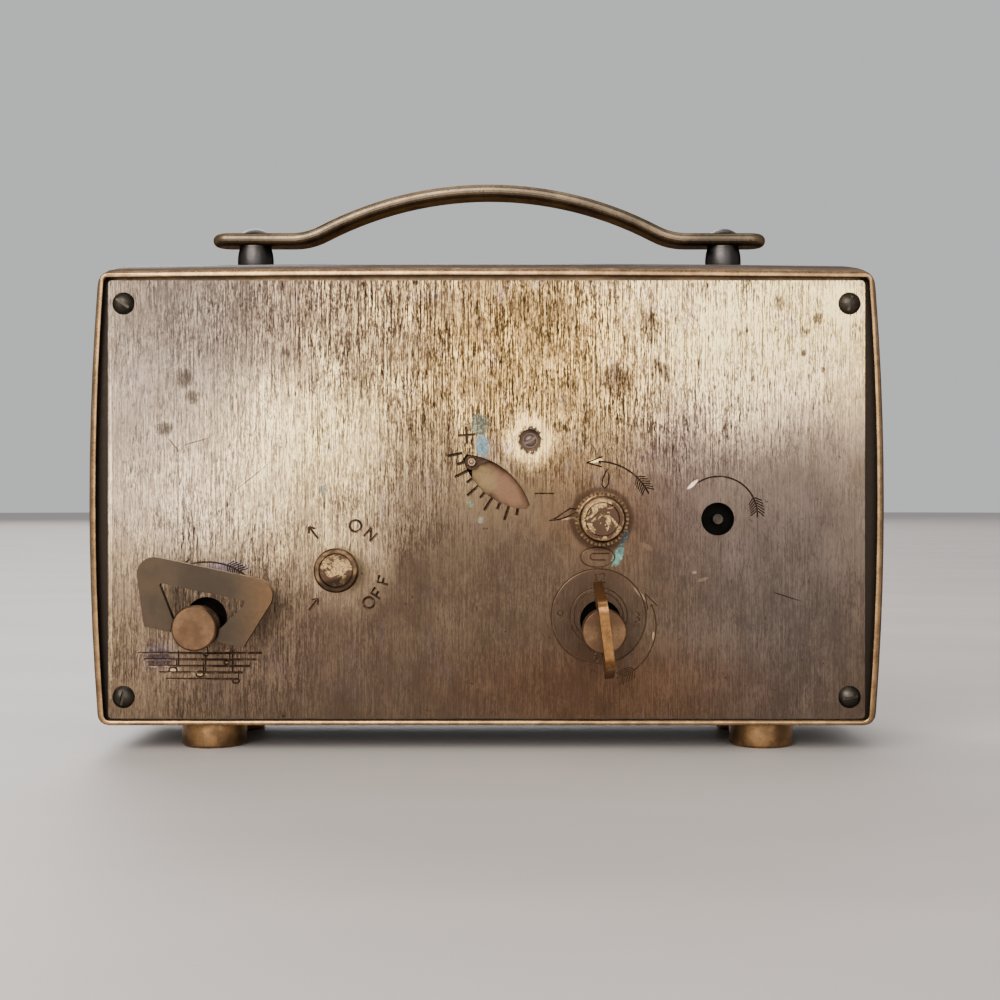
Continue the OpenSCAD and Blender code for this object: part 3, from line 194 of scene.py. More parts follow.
def aged_metal(name, light, dark, stain, grain, rough, relief, spots):
    """Metal with cloudy tarnish, small dark spots and fine handling marks."""
    g = Graph(name)
    cloud = g.noise(grain * 4, 5.0, 0.65)
    fine = g.noise(grain * 0.35, 4.0, 0.7)
    speck = g.band(g.noise(grain * 0.22, 2.0, 0.5, shift=(7, 3, 5)), 0.66, 0.72)
    colour = g.mix(g.band(cloud, 0.35, 0.65), light, dark)
    colour = g.mix(g.math("MULTIPLY", speck, spots), colour, stain)
    wear = g.math("MULTIPLY_ADD", fine, 0.5, g.math("MULTIPLY", cloud, 0.5))
    roughness = g.band(wear, 0.3, 0.7, rough[0], rough[1])
    return g.finish(colour, roughness, g.bump(fine, relief), Metallic=1.0)


def brushed_metal(name, light, dark, stain, along="x", rough=(0.25, 0.45), relief=0.015):
    """Sheet metal with fine parallel brushing along x or z."""
    g = Graph(name)
    long_way, short_way = 24.0, 0.12
    size = {"x": (long_way, 2.0, short_way), "z": (short_way, 2.0, long_way)}[along]
    lines = g.noise(size, 3.0, 0.6)
    cloud = g.noise(14.0, 5.0, 0.65)
    dots = g.band(g.noise(1.1, 3.0, 0.6, shift=(1, 4, 2)), 0.68, 0.74, 0.0, 0.6)
    colour = g.mix(g.band(lines, 0.35, 0.65), light, dark)
    colour = g.mix(g.band(cloud, 0.5, 0.75, 0.0, 0.35), colour, stain)
    colour = g.mix(dots, colour, stain)
    roughness = g.band(cloud, 0.3, 0.7, rough[0], rough[1])
    turn = 0.25 if along == "x" else 0.0
    return g.finish(colour, roughness, g.bump(lines, relief), Metallic=1.0, Anisotropic=0.6,
                    Anisotropic_Rotation=turn)


# Broad lighter and darker areas of the back plate, partly painted reflection and partly tarnish: place, half
# sizes, amount
PLATE_SHEEN_AND_TARNISH = (
    ((-46, 1), (34, 17), 0.27),
    ((58, 34), (26, 19), 0.28),
    ((26, 36), (16, 14), 0.04),
    ((-30, 20), (22, 10), 0.06),
    ((-42, 39), (46, 13), -0.1),
    ((-62, 13), (13, 9), -0.09),
    ((-58, 40), (14, 10), -0.06),
    ((-14, 3), (7, 20), -0.13),
    ((50, 24), (10, 12), 0.05),
    ((-70, -26), (12, 20), 0.12),
    ((-43, -29), (9, 11), 0.05),
    ((42, -32), (12, 8), 0.05),
    ((66, -4), (16, 12), 0.03),
    ((76, 6), (6, 22), 0.04),
    ((11, 38), (6, 8), -0.1),
)
# How strong the grain is over the plate: place, half sizes, amount
PLATE_GRAIN = (
    ((14, 35), (56, 25), 1.1),
    ((-44, 2), (30, 17), 0.5),
    ((-62, -26), (26, 20), 0.22),
    ((-70, 38), (18, 20), 0.2),
)
# Tints of the back plate: place, half sizes, colour, strength
PLATE_TINTS = (
    ((8, 28), (24, 22), (206, 160, 80), 0.6),
    ((-64, 24), (20, 34), (160, 146, 136), 0.65),
    ((-40, 12), (22, 12), (204, 176, 122), 0.4),
    ((62, 32), (18, 18), (214, 184, 120), 0.45),
    ((-42, -30), (20, 12), (166, 136, 118), 0.4),
    ((60, -14), (20, 30), (138, 122, 114), 0.8),
    ((24, -38), (26, 8), (158, 96, 58), 0.35),
    ((24, -4), (12, 10), (158, 108, 70), 0.3),
    ((38, 4), (8, 14), (170, 144, 142), 0.3),
)
# Dark tarnish spots: place, half sizes, turn, strength
PLATE_SPOTS = (
    ((58.6, 39.4), (1.4, 1.5), 0, 0.5),
    ((66.2, 36.2), (0.9, 1.1), 0, 0.6),
    ((64.2, 33.6), (0.5, 0.6), 0, 0.8),
    ((63.4, 29.2), (0.6, 0.6), 0, 0.8),
    ((67.2, 26.0), (0.4, 0.6), 0, 0.9),
    ((32.8, 35.2), (2.0, 2.6), 20, 0.5),
    ((35.2, 25.8), (3.0, 0.9), -52, 0.7),
    ((25.8, 24.2), (2.4, 2.8), 0, 0.5),
    ((-64.4, 14.2), (1.6, 1.2), 0, 0.5),
    ((-60.4, 24.2), (1.4, 1.8), 0, 0.45),
    ((-58.8, 20.6), (1.2, 1.4), 0, 0.45),
    ((-65.4, -31.8), (2.4, 1.6), 0, 0.45),
)
# Pale worn or bare places: place, half sizes, turn, strength
PLATE_RUBS = (
    ((21.8, 7.8), (1.3, 0.4), 6, 0.9),
    ((41.2, 3.0), (1.4, 0.35), 42, 0.9),
    ((16.4, -3.8), (1.6, 0.2), 10, 0.4),
    ((-62.6, -33.9), (1.2, 0.6), 0, 0.45),
    ((-57.3, -34.8), (1.4, 0.6), 0, 0.4),
    ((-56.1, -30.8), (0.5, 0.4), 0, 0.6),
    ((43.2, -16.0), (1.0, 0.35), 20, 0.2),
    ((41.6, -14.6), (0.4, 0.3), 0, 0.3),
    ((32.0, -9.4), (1.4, 0.5), -30, 0.12),
    ((30.8, -19.0), (2.0, 0.35), -48, 0.35),
    ((33.4, -27.4), (0.25, 0.9), 0, 0.5),
    ((-75.2, -6.0), (0.3, 34.0), 0, 0.35),
)
# Scratches: place, half length, turn
PLATE_SCRATCHES = (
    ((-47.0, 4.4), 4.6, 39),
    ((-58.0, 11.6), 2.4, 16),
    ((-38.6, 16.4), 2.2, 88),
    ((-62.6, 11.0), 1.6, -50),
    ((60.0, -19.4), 2.6, -18),
)


def plate_tone(g):
    """Brightness of the plate from 0 to 1, before its fine grain: lighter towards the top as painted
    reflection, with tarnish in clouds and patches.
    """
    u = g.math("MULTIPLY", g.math("SUBTRACT", g.axis("X"), PLATE.x), -1 / MM)
    v = g.math("MULTIPLY", g.math("SUBTRACT", g.axis("Z"), PLATE.z), 1 / MM)
    cloud = g.math("SUBTRACT", g.noise(24.0, 5.0, 0.55), 0.5)
    # Painted reflection: lighter towards the top, where the plate mirrors the bright room, darker towards the
    # bottom
    sheen_rise = g.math("ADD", g.math("MULTIPLY_ADD", u, -0.05, v), g.math("MULTIPLY", cloud, 24.0))
    tone = g.band(sheen_rise, -14, 22, 0.34, 0.54)
    tone = g.math("ADD", tone, g.band(sheen_rise, -12, -42, 0.0, -0.03))
    # Broad patches of painted reflection and tarnish
    for at, half, amount in PLATE_SHEEN_AND_TARNISH:
        sheen_and_tarnish_patch = g.blot(at, half[0], half[1], soft=1.3, ragged=0.3, grain=12.0)
        tone = g.math("MULTIPLY_ADD", sheen_and_tarnish_patch, amount, tone)
    smudge = g.math("SUBTRACT", g.noise((5.0, 5.0, 8.0), 5.0, 0.65), 0.5)
    return g.math("MULTIPLY_ADD", smudge, 0.22, tone)


def plate_grain(g):
    """Fine vertical brushing broken into light and dark strokes, around 0, and its strength."""
    strokes = g.noise((0.27, 2.0, 3.0), 3.0, 0.62)
    flecks = g.noise((0.27, 2.0, 0.8), 3.0, 0.7, 0.4)
    lines = g.noise((0.24, 2.0, 24.0), 2.0, 0.6)
    grain = g.math("MULTIPLY_ADD", flecks, 0.36, g.math("MULTIPLY", strokes, 0.38))
    grain = g.math("MULTIPLY_ADD", lines, 0.26, grain)
    grain = g.math("SUBTRACT", g.band(grain, 0.4, 0.6), 0.5)
    strength = 0.12
    for at, half, amount in PLATE_GRAIN:
        area = g.blot(at, half[0], half[1], soft=1.1, ragged=0.3, grain=10.0)
        strength = g.math("MULTIPLY_ADD", area, amount, strength)
    patches = g.band(g.noise(7.0, 4.0, 0.6), 0.35, 0.65, 0.65, 1.15)
    cuts = g.band(g.noise((0.22, 2.0, 2.2), 2.0, 0.6, shift=(3, 0, 6)), 0.44, 0.34, 0.0, 0.7)
    grain = g.math("SUBTRACT", grain, cuts)
    return grain, g.math("MULTIPLY", g.math("MINIMUM", strength, 1.0), patches)


def back_plate_metal():
    """Brushed, plated and worn brass: pale and golden above, brown below, partly tarnish and partly painted
    reflection; spots and verdigris.
    """
    g = Graph("plate_brass")
    grain, strength = plate_grain(g)
    tone = g.math("MULTIPLY_ADD", grain, g.math("MULTIPLY", strength, 0.74), plate_tone(g))
    # Light worn patches round the balance hole, the knob and the upper screw
    for at, half, amount in (
        (seen(BALANCE), (4.9, 4.9), 0.44),
        (seen(SWITCH, 1.0), (8.0, 8.5), 0.12),
        (UPPER_SCREW, (4.4, 4.2), 0.16),
    ):
        rub = g.blot(at, half[0], half[1], soft=0.8, ragged=0.6, grain=1.3)
        tone = g.math("MULTIPLY_ADD", rub, amount, tone)
    # Dull dark zone inside the watch outline
    dull = g.blot(seen(GOING, -0.56, 2.0), 9.4, 9.4, soft=0.15)
    tone = g.math("MULTIPLY_ADD", dull, -0.04, tone)
    # Spots, rubs and scratches: place, half sizes, turn, change of tone, softness
    marks = [(at, half, turn, -0.45 * depth, 0.9) for at, half, turn, depth in PLATE_SPOTS]
    marks += [(at, half, turn, 0.55 * depth, 0.5) for at, half, turn, depth in PLATE_RUBS]
    marks += [(at, (half, 0.11), turn, -0.35, 0.9) for at, half, turn in PLATE_SCRATCHES]
    for at, half, turn, amount, soft in marks:
        spot = g.blot(at, half[0], half[1], turn, soft, 1.0, 0.8)
        tone = g.math("MULTIPLY_ADD", spot, amount, tone)
    pits = g.band(g.noise(1.3, 3.0, 0.7), 0.68, 0.76)
    tone = g.math("MULTIPLY_ADD", pits, -0.25, tone)
    stops = (
        (0.05, (36, 26, 20)), (0.3, (72, 58, 47)), (0.45, (104, 87, 69)), (0.6, (146, 124, 97)),
        (0.75, (190, 163, 119)), (0.92, (250, 226, 170)),
    )
    colour = g.ramp(tone, stops)
    for at, half, tint, depth in PLATE_TINTS:
        spread = g.blot(at, half[0], half[1], soft=1.5, ragged=0.7, grain=8.0)
        colour = g.mix(g.math("MULTIPLY", spread, depth), colour, tint, "COLOR")
    rosy = g.band(g.noise(5.0, 4.0, 0.6, 0.4), 0.56, 0.72, 0.0, 0.35)
    colour = g.mix(rosy, colour, (186, 158, 150), "COLOR")
    for at, half in (((-65.4, -31.4), (2.8, 2.2)), ((-52.0, -13.6), (4.0, 1.2))):
        smear = g.blot(at, half[0], half[1], soft=1.4, ragged=1.2, grain=1.4)
        colour = g.mix(g.math("MULTIPLY", smear, 0.5), colour, (108, 98, 116), "COLOR")
    # Painted shade of a wider dark hole round the balance screw, dull and dark; a dark ring round the foot of
    # the hand setting knob
    balance_hole_shade = g.blot(seen(BALANCE), 2.3, 2.7, soft=0.25, ragged=1.5, grain=0.6)
    colour = g.mix(balance_hole_shade, colour, (58, 43, 35))
    ring = g.math("ABSOLUTE", g.math("SUBTRACT", g.away(seen(CENTRE), 5.9, 5.9), 1.0))
    colour = g.mix(g.band(ring, 0.16, 0.02, 0.0, 0.7), colour, (50, 36, 27))
    crust, colour = verdigris(g, colour)
    clean = g.math("SUBTRACT", 1.0, g.math("MAXIMUM", crust, g.math("MULTIPLY", balance_hole_shade, 0.9)), clamp=True)
    relief = g.math("MULTIPLY", grain, strength)
    relief = g.math("ADD", relief, g.math("MULTIPLY", crust, g.noise(0.5, 3.0)))
    roughness = g.band(tone, 0.3, 0.9, 0.42, 0.32)
    roughness = g.math("MAXIMUM", roughness, g.math("MULTIPLY", crust, 0.9))
    roughness = g.math("MAXIMUM", roughness, g.math("MULTIPLY", balance_hole_shade, 0.7))
    return g.finish(colour, roughness, g.bump(relief, 0.02), Metallic=clean, Anisotropic=0.3)


def verdigris(g, colour):
    """Blue-green crust in a few small places, laid over a colour; gives its mask and the new colour."""
    total = None
    specks = g.band(g.noise(0.6, 3.0, 0.7, shift=(2, 9, 4)), 0.52, 0.64, 0.0, 0.75)
    pale = g.band(g.noise(0.5, 3.0, 0.7, shift=(6, 1, 8)), 0.5, 0.64, 0.0, 0.6)
    for at, half, turn, tint, depth in (
        (seen(BALANCE, -10.1, 3.0), (1.7, 2.2), 6, (66, 68, 50), 0.8),
        (seen(BALANCE, -9.6, -1.1), (1.25, 2.1), 4, (98, 126, 138), 0.95),
        (seen(CENTRE, 3.3, -7.4), (0.85, 2.1), -24, (84, 136, 124), 0.95),
        (seen(CENTRE, 4.4, -4.2), (0.6, 2.1), -22, (56, 70, 74), 0.65),
        (seen(BALANCE, -11.9, -12.8), (0.6, 0.9), 20, (78, 94, 72), 0.5),
        (seen(BALANCE, -9.9, -16.0), (0.55, 0.7), 0, (124, 118, 92), 0.6),
        (seen(SWITCH, -3.6, 15.9), (0.8, 1.3), 0, (60, 82, 80), 0.5),
    ):
        mask = g.math("MULTIPLY", g.blot(at, half[0], half[1], turn, 0.5, 1.1, 0.7), depth)
        grit = g.mix(specks, g.mix(pale, tint, (166, 184, 176)), (58, 56, 46))
        colour = g.mix(mask, colour, grit)
        total = mask if total is None else g.math("MAXIMUM", total, mask)
    return total, colour


def case_metal():
    """Brown lacquered sheet, bare bright brass along the rims that is also a painted highlight, spotted and
    dusty.
    """
    g = Graph("case_metal")
    cloud = g.noise(30.0, 6.0, 0.55)
    mottle = g.noise(2.4, 4.0, 0.6, shift=(2, 7, 1))
    fine = g.noise(0.7, 4.0, 0.7)
    depth = g.math("ABSOLUTE", g.math("SUBTRACT", g.axis("Y"), middle("case_shell").y))
    low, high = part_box("case_shell")
    half = (high.y - low.y) / 2
    # Along the rims: bare brass worn through the lacquer, painted bright as a highlight on the rolled edge
    # too
    edge_wear_and_highlight = g.math("MULTIPLY_ADD", g.math("SUBTRACT", g.noise(3.0, 4.0, 0.7), 0.5), 0.5 * MM, depth)
    rim = g.band(edge_wear_and_highlight, half - 0.42 * MM, half - 0.06 * MM)
    colour = g.mix(g.band(cloud, 0.3, 0.7), (86, 72, 62), (68, 56, 48))
    colour = g.mix(g.band(mottle, 0.45, 0.7, 0.0, 0.35), colour, (98, 82, 68))
    dots = g.band(g.noise(0.9, 2.0, 0.6, shift=(4, 4, 1)), 0.68, 0.74)
    colour = g.mix(g.math("MULTIPLY", dots, 0.7), colour, (50, 42, 36))
    bare_brass_and_highlight = g.mix(g.band(g.noise(4.0, 4.0, 0.7), 0.35, 0.65), (168, 134, 94), (130, 102, 72))
    colour = g.mix(rim, colour, bare_brass_and_highlight)
    roughness = g.math("MULTIPLY_ADD", rim, -0.14, g.band(fine, 0.3, 0.7, 0.32, 0.44))
    metallic = g.math("MULTIPLY_ADD", rim, 0.35, 0.6)
    return g.finish(colour, roughness, g.bump(fine, 0.008), Metallic=metallic, Specular_Tint=(120, 108, 98))


BEADS = 38


def bead_gaps(g):
    """Mask of the dark gaps between the beads round the hand setting knob."""
    across = g.math("SUBTRACT", g.axis("X"), CENTRE.x)
    up = g.math("SUBTRACT", g.axis("Z"), CENTRE.z)
    wave = g.math("COSINE", g.math("MULTIPLY", g.math("ARCTAN2", up, across), BEADS))
    outside = g.band(g.away(seen(CENTRE), 1.0, 1.0), 4.75, 4.95, 0.0, 0.85)
    return g.math("MULTIPLY", g.band(wave, -0.1, -0.7), outside)


def knob_metal():
    """Brown aged brass whose pale plating is left in patches on the knob faces."""
    g = Graph("knob_bronze")
    patch = g.band(g.noise(4.2, 5.0, 0.72, 0.6, shift=(2, 0, 3)), 0.5, 0.53)
    fine = g.noise(0.35, 4.0, 0.7)
    face = None
    for place, node, reach in ((SWITCH, "on_off_knob", 3.5), (CENTRE, "hand_set_knob", 4.0)):
        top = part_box(node)[1].y
        near = g.blot(seen(place), reach, reach, soft=0.12, ragged=0.2, grain=0.9)
        level = g.band(g.axis("Y"), top - 0.7 * MM, top - 0.5 * MM)
        mask = g.math("MULTIPLY", near, level)
        face = mask if face is None else g.math("MAXIMUM", face, mask)
    worn = g.blot(seen(SWITCH), 2.9, 2.9, soft=0.6, ragged=1.6, grain=1.2)
    worn = g.math("MAXIMUM", worn, g.blot(seen(CENTRE), 4.2, 4.2, soft=0.4, ragged=0.4, grain=1.2))
    gold = g.math("MULTIPLY", g.math("MULTIPLY", face, patch), worn)
    dirt = g.band(g.noise(1.2, 4.0, 0.65, shift=(3, 3, 3)), 0.35, 0.65)
    colour = g.mix(dirt, (116, 92, 66), (70, 53, 40))
    colour = g.mix(face, colour, (70, 53, 42))
    colour = g.mix(gold, colour, g.mix(g.band(fine, 0.4, 0.6), (176, 148, 104), (118, 94, 64)))
    colour = g.mix(bead_gaps(g), colour, (34, 25, 19))
    roughness = g.math("MULTIPLY_ADD", gold, 0.12, g.band(fine, 0.3, 0.7, 0.28, 0.42))
    height = g.math("MULTIPLY_ADD", gold, 0.8, fine)
    return g.finish(colour, roughness, g.bump(height, 0.03), Metallic=1.0)


def loop_metal():
    """Flat bronze of the folding loops: olive brown, more golden towards the clock key."""
    g = Graph("loop_bronze")
    cloud = g.noise(10.0, 5.0, 0.6)
    fine = g.noise(0.8, 4.0, 0.7)
    golden = g.band(g.axis("X"), MUSIC.x - 6 * MM, MUSIC.x - 26 * MM)
    dull = g.mix(g.band(cloud, 0.35, 0.65), (74, 62, 50), (58, 50, 42))
    bright = g.mix(g.band(fine, 0.3, 0.7), (136, 98, 60), (102, 73, 46))
    colour = g.mix(golden, dull, bright)
    roughness = g.band(cloud, 0.3, 0.7, 0.3, 0.44)
    return g.finish(colour, roughness, g.bump(fine, 0.006), Metallic=1.0)


def flange_metal():
    """Dull brown sheet of the flanges round the plates, nearly black down the sides as painted shade in the
    gap.
    """
    g = Graph("flange_steel")
    cloud = g.noise(12.0, 5.0, 0.65)
    fine = g.noise(0.9, 4.0, 0.7)
    across = g.math("ABSOLUTE", g.math("SUBTRACT", g.axis("X"), PLATE.x))
    colour = g.mix(g.band(cloud, 0.35, 0.65), (122, 101, 78), (92, 76, 60))
    # Painted shade: nearly black down the sides, in the gap between the plate and the case wall
    colour = g.mix(g.band(across, 73.6 * MM, 75.4 * MM), colour, (42, 36, 31))
    return g.finish(colour, g.band(fine, 0.3, 0.7, 0.4, 0.55), g.bump(fine, 0.02), Metallic=1.0)


def handle_metal():
    """Dark brown handle, brassy where hands have rubbed it, with blackened spacers."""
    g = Graph("handle_metal")
    cloud = g.noise(12.0, 5.0, 0.65)
    fine = g.noise(1.0, 4.0, 0.7)
    colour = g.mix(g.band(cloud, 0.35, 0.65), (118, 102, 82), (80, 70, 58))
    spots = g.band(g.noise(0.66, 2.0, 0.5, shift=(7, 3, 5)), 0.66, 0.72, 0.0, 0.6)
    colour = g.mix(spots, colour, (42, 36, 31))
    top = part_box("handle_spacers")[1].z
    below = g.band(g.axis("Z"), top, top - 0.2 * MM)
    colour = g.mix(below, colour, (62, 59, 58))
    return g.finish(colour, g.band(fine, 0.3, 0.7, 0.3, 0.46), g.bump(fine, 0.008), Metallic=1.0,
                    Specular_Tint=(150, 140, 128))


def regulator_metal():
    """Dull brown regulator arm whose raised pin is rubbed bright."""
    g = Graph("regulator_copper")
    cloud = g.noise(3.0, 4.0, 0.65)
    fine = g.noise(0.4, 4.0, 0.7)
    colour = g.mix(g.band(cloud, 0.35, 0.65), (92, 72, 56), (62, 48, 38))
    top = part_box("regulator")[1].y
    pin = g.band(g.axis("Y"), top - 0.5 * MM, top - 0.3 * MM)
    colour = g.mix(pin, colour, (130, 106, 86))
    return g.finish(colour, g.band(fine, 0.3, 0.7, 0.3, 0.45), g.bump(fine, 0.01), Metallic=1.0)


def bed_metal():
    """Grey cast metal of the music box bed, painted near black behind the key's hole as the shade there."""
    g = Graph("bed_metal")
    cloud = g.noise(10.0, 5.0, 0.65)
    grit = g.noise(0.5, 4.0, 0.7)
    colour = g.mix(g.band(cloud, 0.35, 0.65), (150, 147, 141), (122, 119, 113))
    # Painted shade: near black behind the key's hole
    deep_hole_shade = g.blot(seen(MUSIC), 9.0, 9.0, soft=0.6, ragged=0.5, grain=4.0)
    colour = g.mix(deep_hole_shade, colour, (22, 19, 17))
    return g.finish(colour, g.band(grit, 0.3, 0.7, 0.45, 0.62), g.bump(grit, 0.03), Metallic=1.0)


def screw_metal():
    """Blackened steel with a little rust; the balance's screw is browner and paler."""
    g = Graph("dark_screw_steel")
    cloud = g.noise(3.6, 5.0, 0.65)
    fine = g.noise(0.32, 4.0, 0.7)
    colour = g.mix(g.band(cloud, 0.35, 0.65), (66, 61, 54), (44, 41, 36))
    rust = g.band(g.noise(0.9, 3.0, 0.6, shift=(7, 3, 5)), 0.62, 0.72, 0.0, 0.5)
    colour = g.mix(rust, colour, (76, 56, 40))
    pivot = g.blot(seen(BALANCE), 1.5, 1.5, soft=0.2)
    colour = g.mix(pivot, colour, (104, 84, 74))
    metallic = g.math("MULTIPLY_ADD", pivot, -0.7, 1.0)
    return g.finish(colour, g.band(fine, 0.3, 0.7, 0.34, 0.52), g.bump(fine, 0.015), Metallic=metallic)


def oxidised_brass():
    """Dark oxidised sheet of the movement, olive and gold or pinkish where the slot shows it, near black as
    painted shade in the alarm and going holes.
    """
    g = Graph("oxidised_brass")
    cloud = g.noise(5.0, 4.0, 0.6)
    fine = g.noise(0.6, 4.0, 0.7)
    colour = g.mix(g.band(cloud, 0.35, 0.65), (48, 39, 31), (30, 25, 21))
    gold = g.blot(seen(BALANCE, -9.4, -7.4), 3.2, 2.2, -48, 1.0, 0.8, 1.6)
    rose = g.blot(seen(BALANCE, -5.2, -9.6), 6.0, 2.6, -46, 0.9, 0.5, 1.6)
    colour = g.mix(rose, colour, (106, 80, 62))
    colour = g.mix(gold, colour, (112, 93, 66))
    colour = g.mix(g.band(fine, 0.5, 0.75, 0.0, 0.35), colour, (60, 46, 34))
    # Painted shade: near black deep in the alarm and going holes
    for place in (ALARM, GOING):
        deep_hole_shade = g.blot(seen(place), 8.0, 8.0, soft=0.5, ragged=0.5, grain=4.0)
        colour = g.mix(deep_hole_shade, colour, (12, 11, 10))
    return g.finish(colour, g.band(cloud, 0.3, 0.7, 0.35, 0.5), g.bump(fine, 0.01), Metallic=1.0)


def glass_clear():
    """Clear glass, a little smeared in places."""
    g = Graph("window_glass")
    smear = g.noise(12.0, 4.0, 0.6)
    roughness = g.band(smear, 0.45, 0.75, 0.0, 0.05)
    return g.finish((250, 253, 252), roughness, Metallic=0.0, Transmission_Weight=1.0, IOR=1.46)


def enamel(name, light, dark, rough=(0.25, 0.4)):
    """Smooth paint with a faint cloudiness and a fine orange peel."""
    g = Graph(name)
    cloud = g.noise(11.0, 4.0, 0.6)
    peel = g.noise(0.6, 2.0, 0.5)
    colour = g.mix(g.band(cloud, 0.45, 0.8), light, dark)
    return g.finish(colour, g.band(cloud, 0.3, 0.7, rough[0], rough[1]), g.bump(peel, 0.004), Metallic=0.0)


def grime():
    """Stamped metal of the grooves: brown, with dirt in places and worn bright in others."""
    g = Graph("groove_grime")
    fine = g.noise(0.6, 3.0, 0.7)
    worn = g.band(g.noise(1.8, 3.0, 0.6, shift=(5, 1, 2)), 0.54, 0.66, 0.0, 0.8)
    colour = g.mix(g.band(fine, 0.35, 0.65), (74, 57, 44), (46, 34, 26))
    colour = g.mix(worn, colour, (112, 90, 68))
    faint = g.blot(seen(GOING, 0.0, 1.0), 15.0, 16.0, soft=0.3)
    colour = g.mix(g.math("MULTIPLY", faint, 0.36), colour, (146, 120, 94))
    return g.finish(colour, g.band(fine, 0.3, 0.7, 0.32, 0.5), g.bump(fine, 0.015), Metallic=0.9)


FINISHES = {
    "case_metal": case_metal,
    "plate_brass": back_plate_metal,
    "knob_bronze": knob_metal,
    "window_glass": glass_clear,
    "dial_enamel": lambda: enamel("dial_enamel", (236, 228, 206), (222, 208, 176)),
    "hand_black": lambda: enamel("hand_black", (18, 18, 20), (30, 29, 28), (0.12, 0.25)),
    "handle_metal": handle_metal,
    "foot_brass": lambda: aged_metal(
        "foot_brass", (146, 112, 75), (100, 76, 54), (46, 35, 27), 1.2, (0.26, 0.46), 0.04, spots=0.8),
    "front_brass": lambda: brushed_metal(
        "front_brass", (208, 174, 112), (192, 158, 100), (160, 130, 84), "x", (0.16, 0.28), 0.008),
    "bezel_brass": lambda: aged_metal(
        "bezel_brass", (224, 186, 112), (198, 156, 88), (120, 88, 50), 2.4, (0.1, 0.24), 0.008, 0.3),
    "dark_screw_steel": screw_metal,
    "plain_steel": lambda: aged_metal(
        "plain_steel", (176, 174, 170), (140, 137, 133), (92, 78, 62), 1.4, (0.2, 0.38), 0.01, 0.4),
    "flange_steel": flange_metal,
    "key_bronze": lambda: aged_metal(
        "key_bronze", (114, 87, 64), (84, 63, 47), (58, 42, 31), 1.3, (0.22, 0.4), 0.008, 0.5),
    "loop_bronze": loop_metal,
    "movement_brass": lambda: brushed_metal(
        "movement_brass", (204, 166, 96), (178, 140, 78), (136, 98, 56), "z"),
    "spring_steel": lambda: brushed_metal(
        "spring_steel", (84, 94, 124), (58, 64, 86), (74, 60, 52), "z", (0.18, 0.32)),
    "regulator_copper": regulator_metal,
    "oxidised_brass": oxidised_brass,
    "bed_metal": bed_metal,
}

materials = {slot: make() for slot, make in FINISHES.items()}
for subpart in frame["record"]["subparts"]:
    node = frame["nodes"][subpart["node"]]
    for slot in node.material_slots:
        slot.material = materials[subpart["material_slot"]]


# Lines of points, and bands that follow them

def polar(radius, angle):
    """Point at a radius and an angle in degrees."""
    a = math.radians(angle)
    return (radius * math.cos(a), radius * math.sin(a))


def curve(radius, start, end, steps):
    """Arc round the origin, from one angle to another."""
    return [polar(radius, start + (end - start) * i / steps) for i in range(steps + 1)]


def bend(cx, cy, radius, start, end, steps, squash=1.0):
    """Arc round a place, made flatter where squash is below 1."""
    return [(cx + x, cy + y * squash) for x, y in curve(radius, start, end, steps)]


class Strokes:
    """Mesh of bands that follow lines of points. A closed line repeats its first point at the end."""

    def __init__(self):
        self.mesh = bmesh.new()

    @staticmethod
    def runs(path, gap):
        """Takes the repeated point off a closed line; tells if it is closed and its run at each point."""
        closed = (path[0] - path[-1]).length < gap
        if closed:
            path.pop()
        count = len(path)
        found = []
        for i, p in enumerate(path):
            before = path[i - 1] if closed or i > 0 else p
            after = path[(i + 1) % count] if closed or i < count - 1 else p
            found.append((after - before).normalized())
        return closed, found

    def skin(self, rings, closed):
        """Faces from each ring of corners to the next, and end faces on an open band."""
        pairs = list(zip(rings, rings[1:]))
        if closed:
            pairs.append((rings[-1], rings[0]))
        else:
            self.mesh.faces.new(rings[0])
            self.mesh.faces.new(rings[-1][::-1])
        for a, b in pairs:
            for k in range(len(a)):
                j = (k + 1) % len(a)
                self.mesh.faces.new((a[k], b[k], b[j], a[j]))

    def to_object(self, name, material):
        bmesh.ops.recalc_face_normals(self.mesh, faces=self.mesh.faces)
        made = add_object(name, self.mesh)
        made.data.materials.append(material)
        return made


def add_object(name, mesh):
    """Puts a mesh into the scene as an object of its own."""
    data = bpy.data.meshes.new(name)
    mesh.to_mesh(data)
    mesh.free()
    made = bpy.data.objects.new(name, data)
    bpy.context.scene.collection.objects.link(made)
    return made


# Stamped marks on the back plate, as grooves cut into it. Points are in millimetres, u to the
# right and v up as seen from behind.

GROOVE_W = 0.36
GROOVE_DEPTH = 0.13
CUTTER_PROUD = 0.06
ARROW_W, BARB_W, FEATHER_W = 0.34, 0.32, 0.24
FEATHERS = 6


def beside(origin, u, v):
    """Place to the right of an origin and above it."""
    return Vector((origin.x - u * MM, origin.y, origin.z + v * MM))


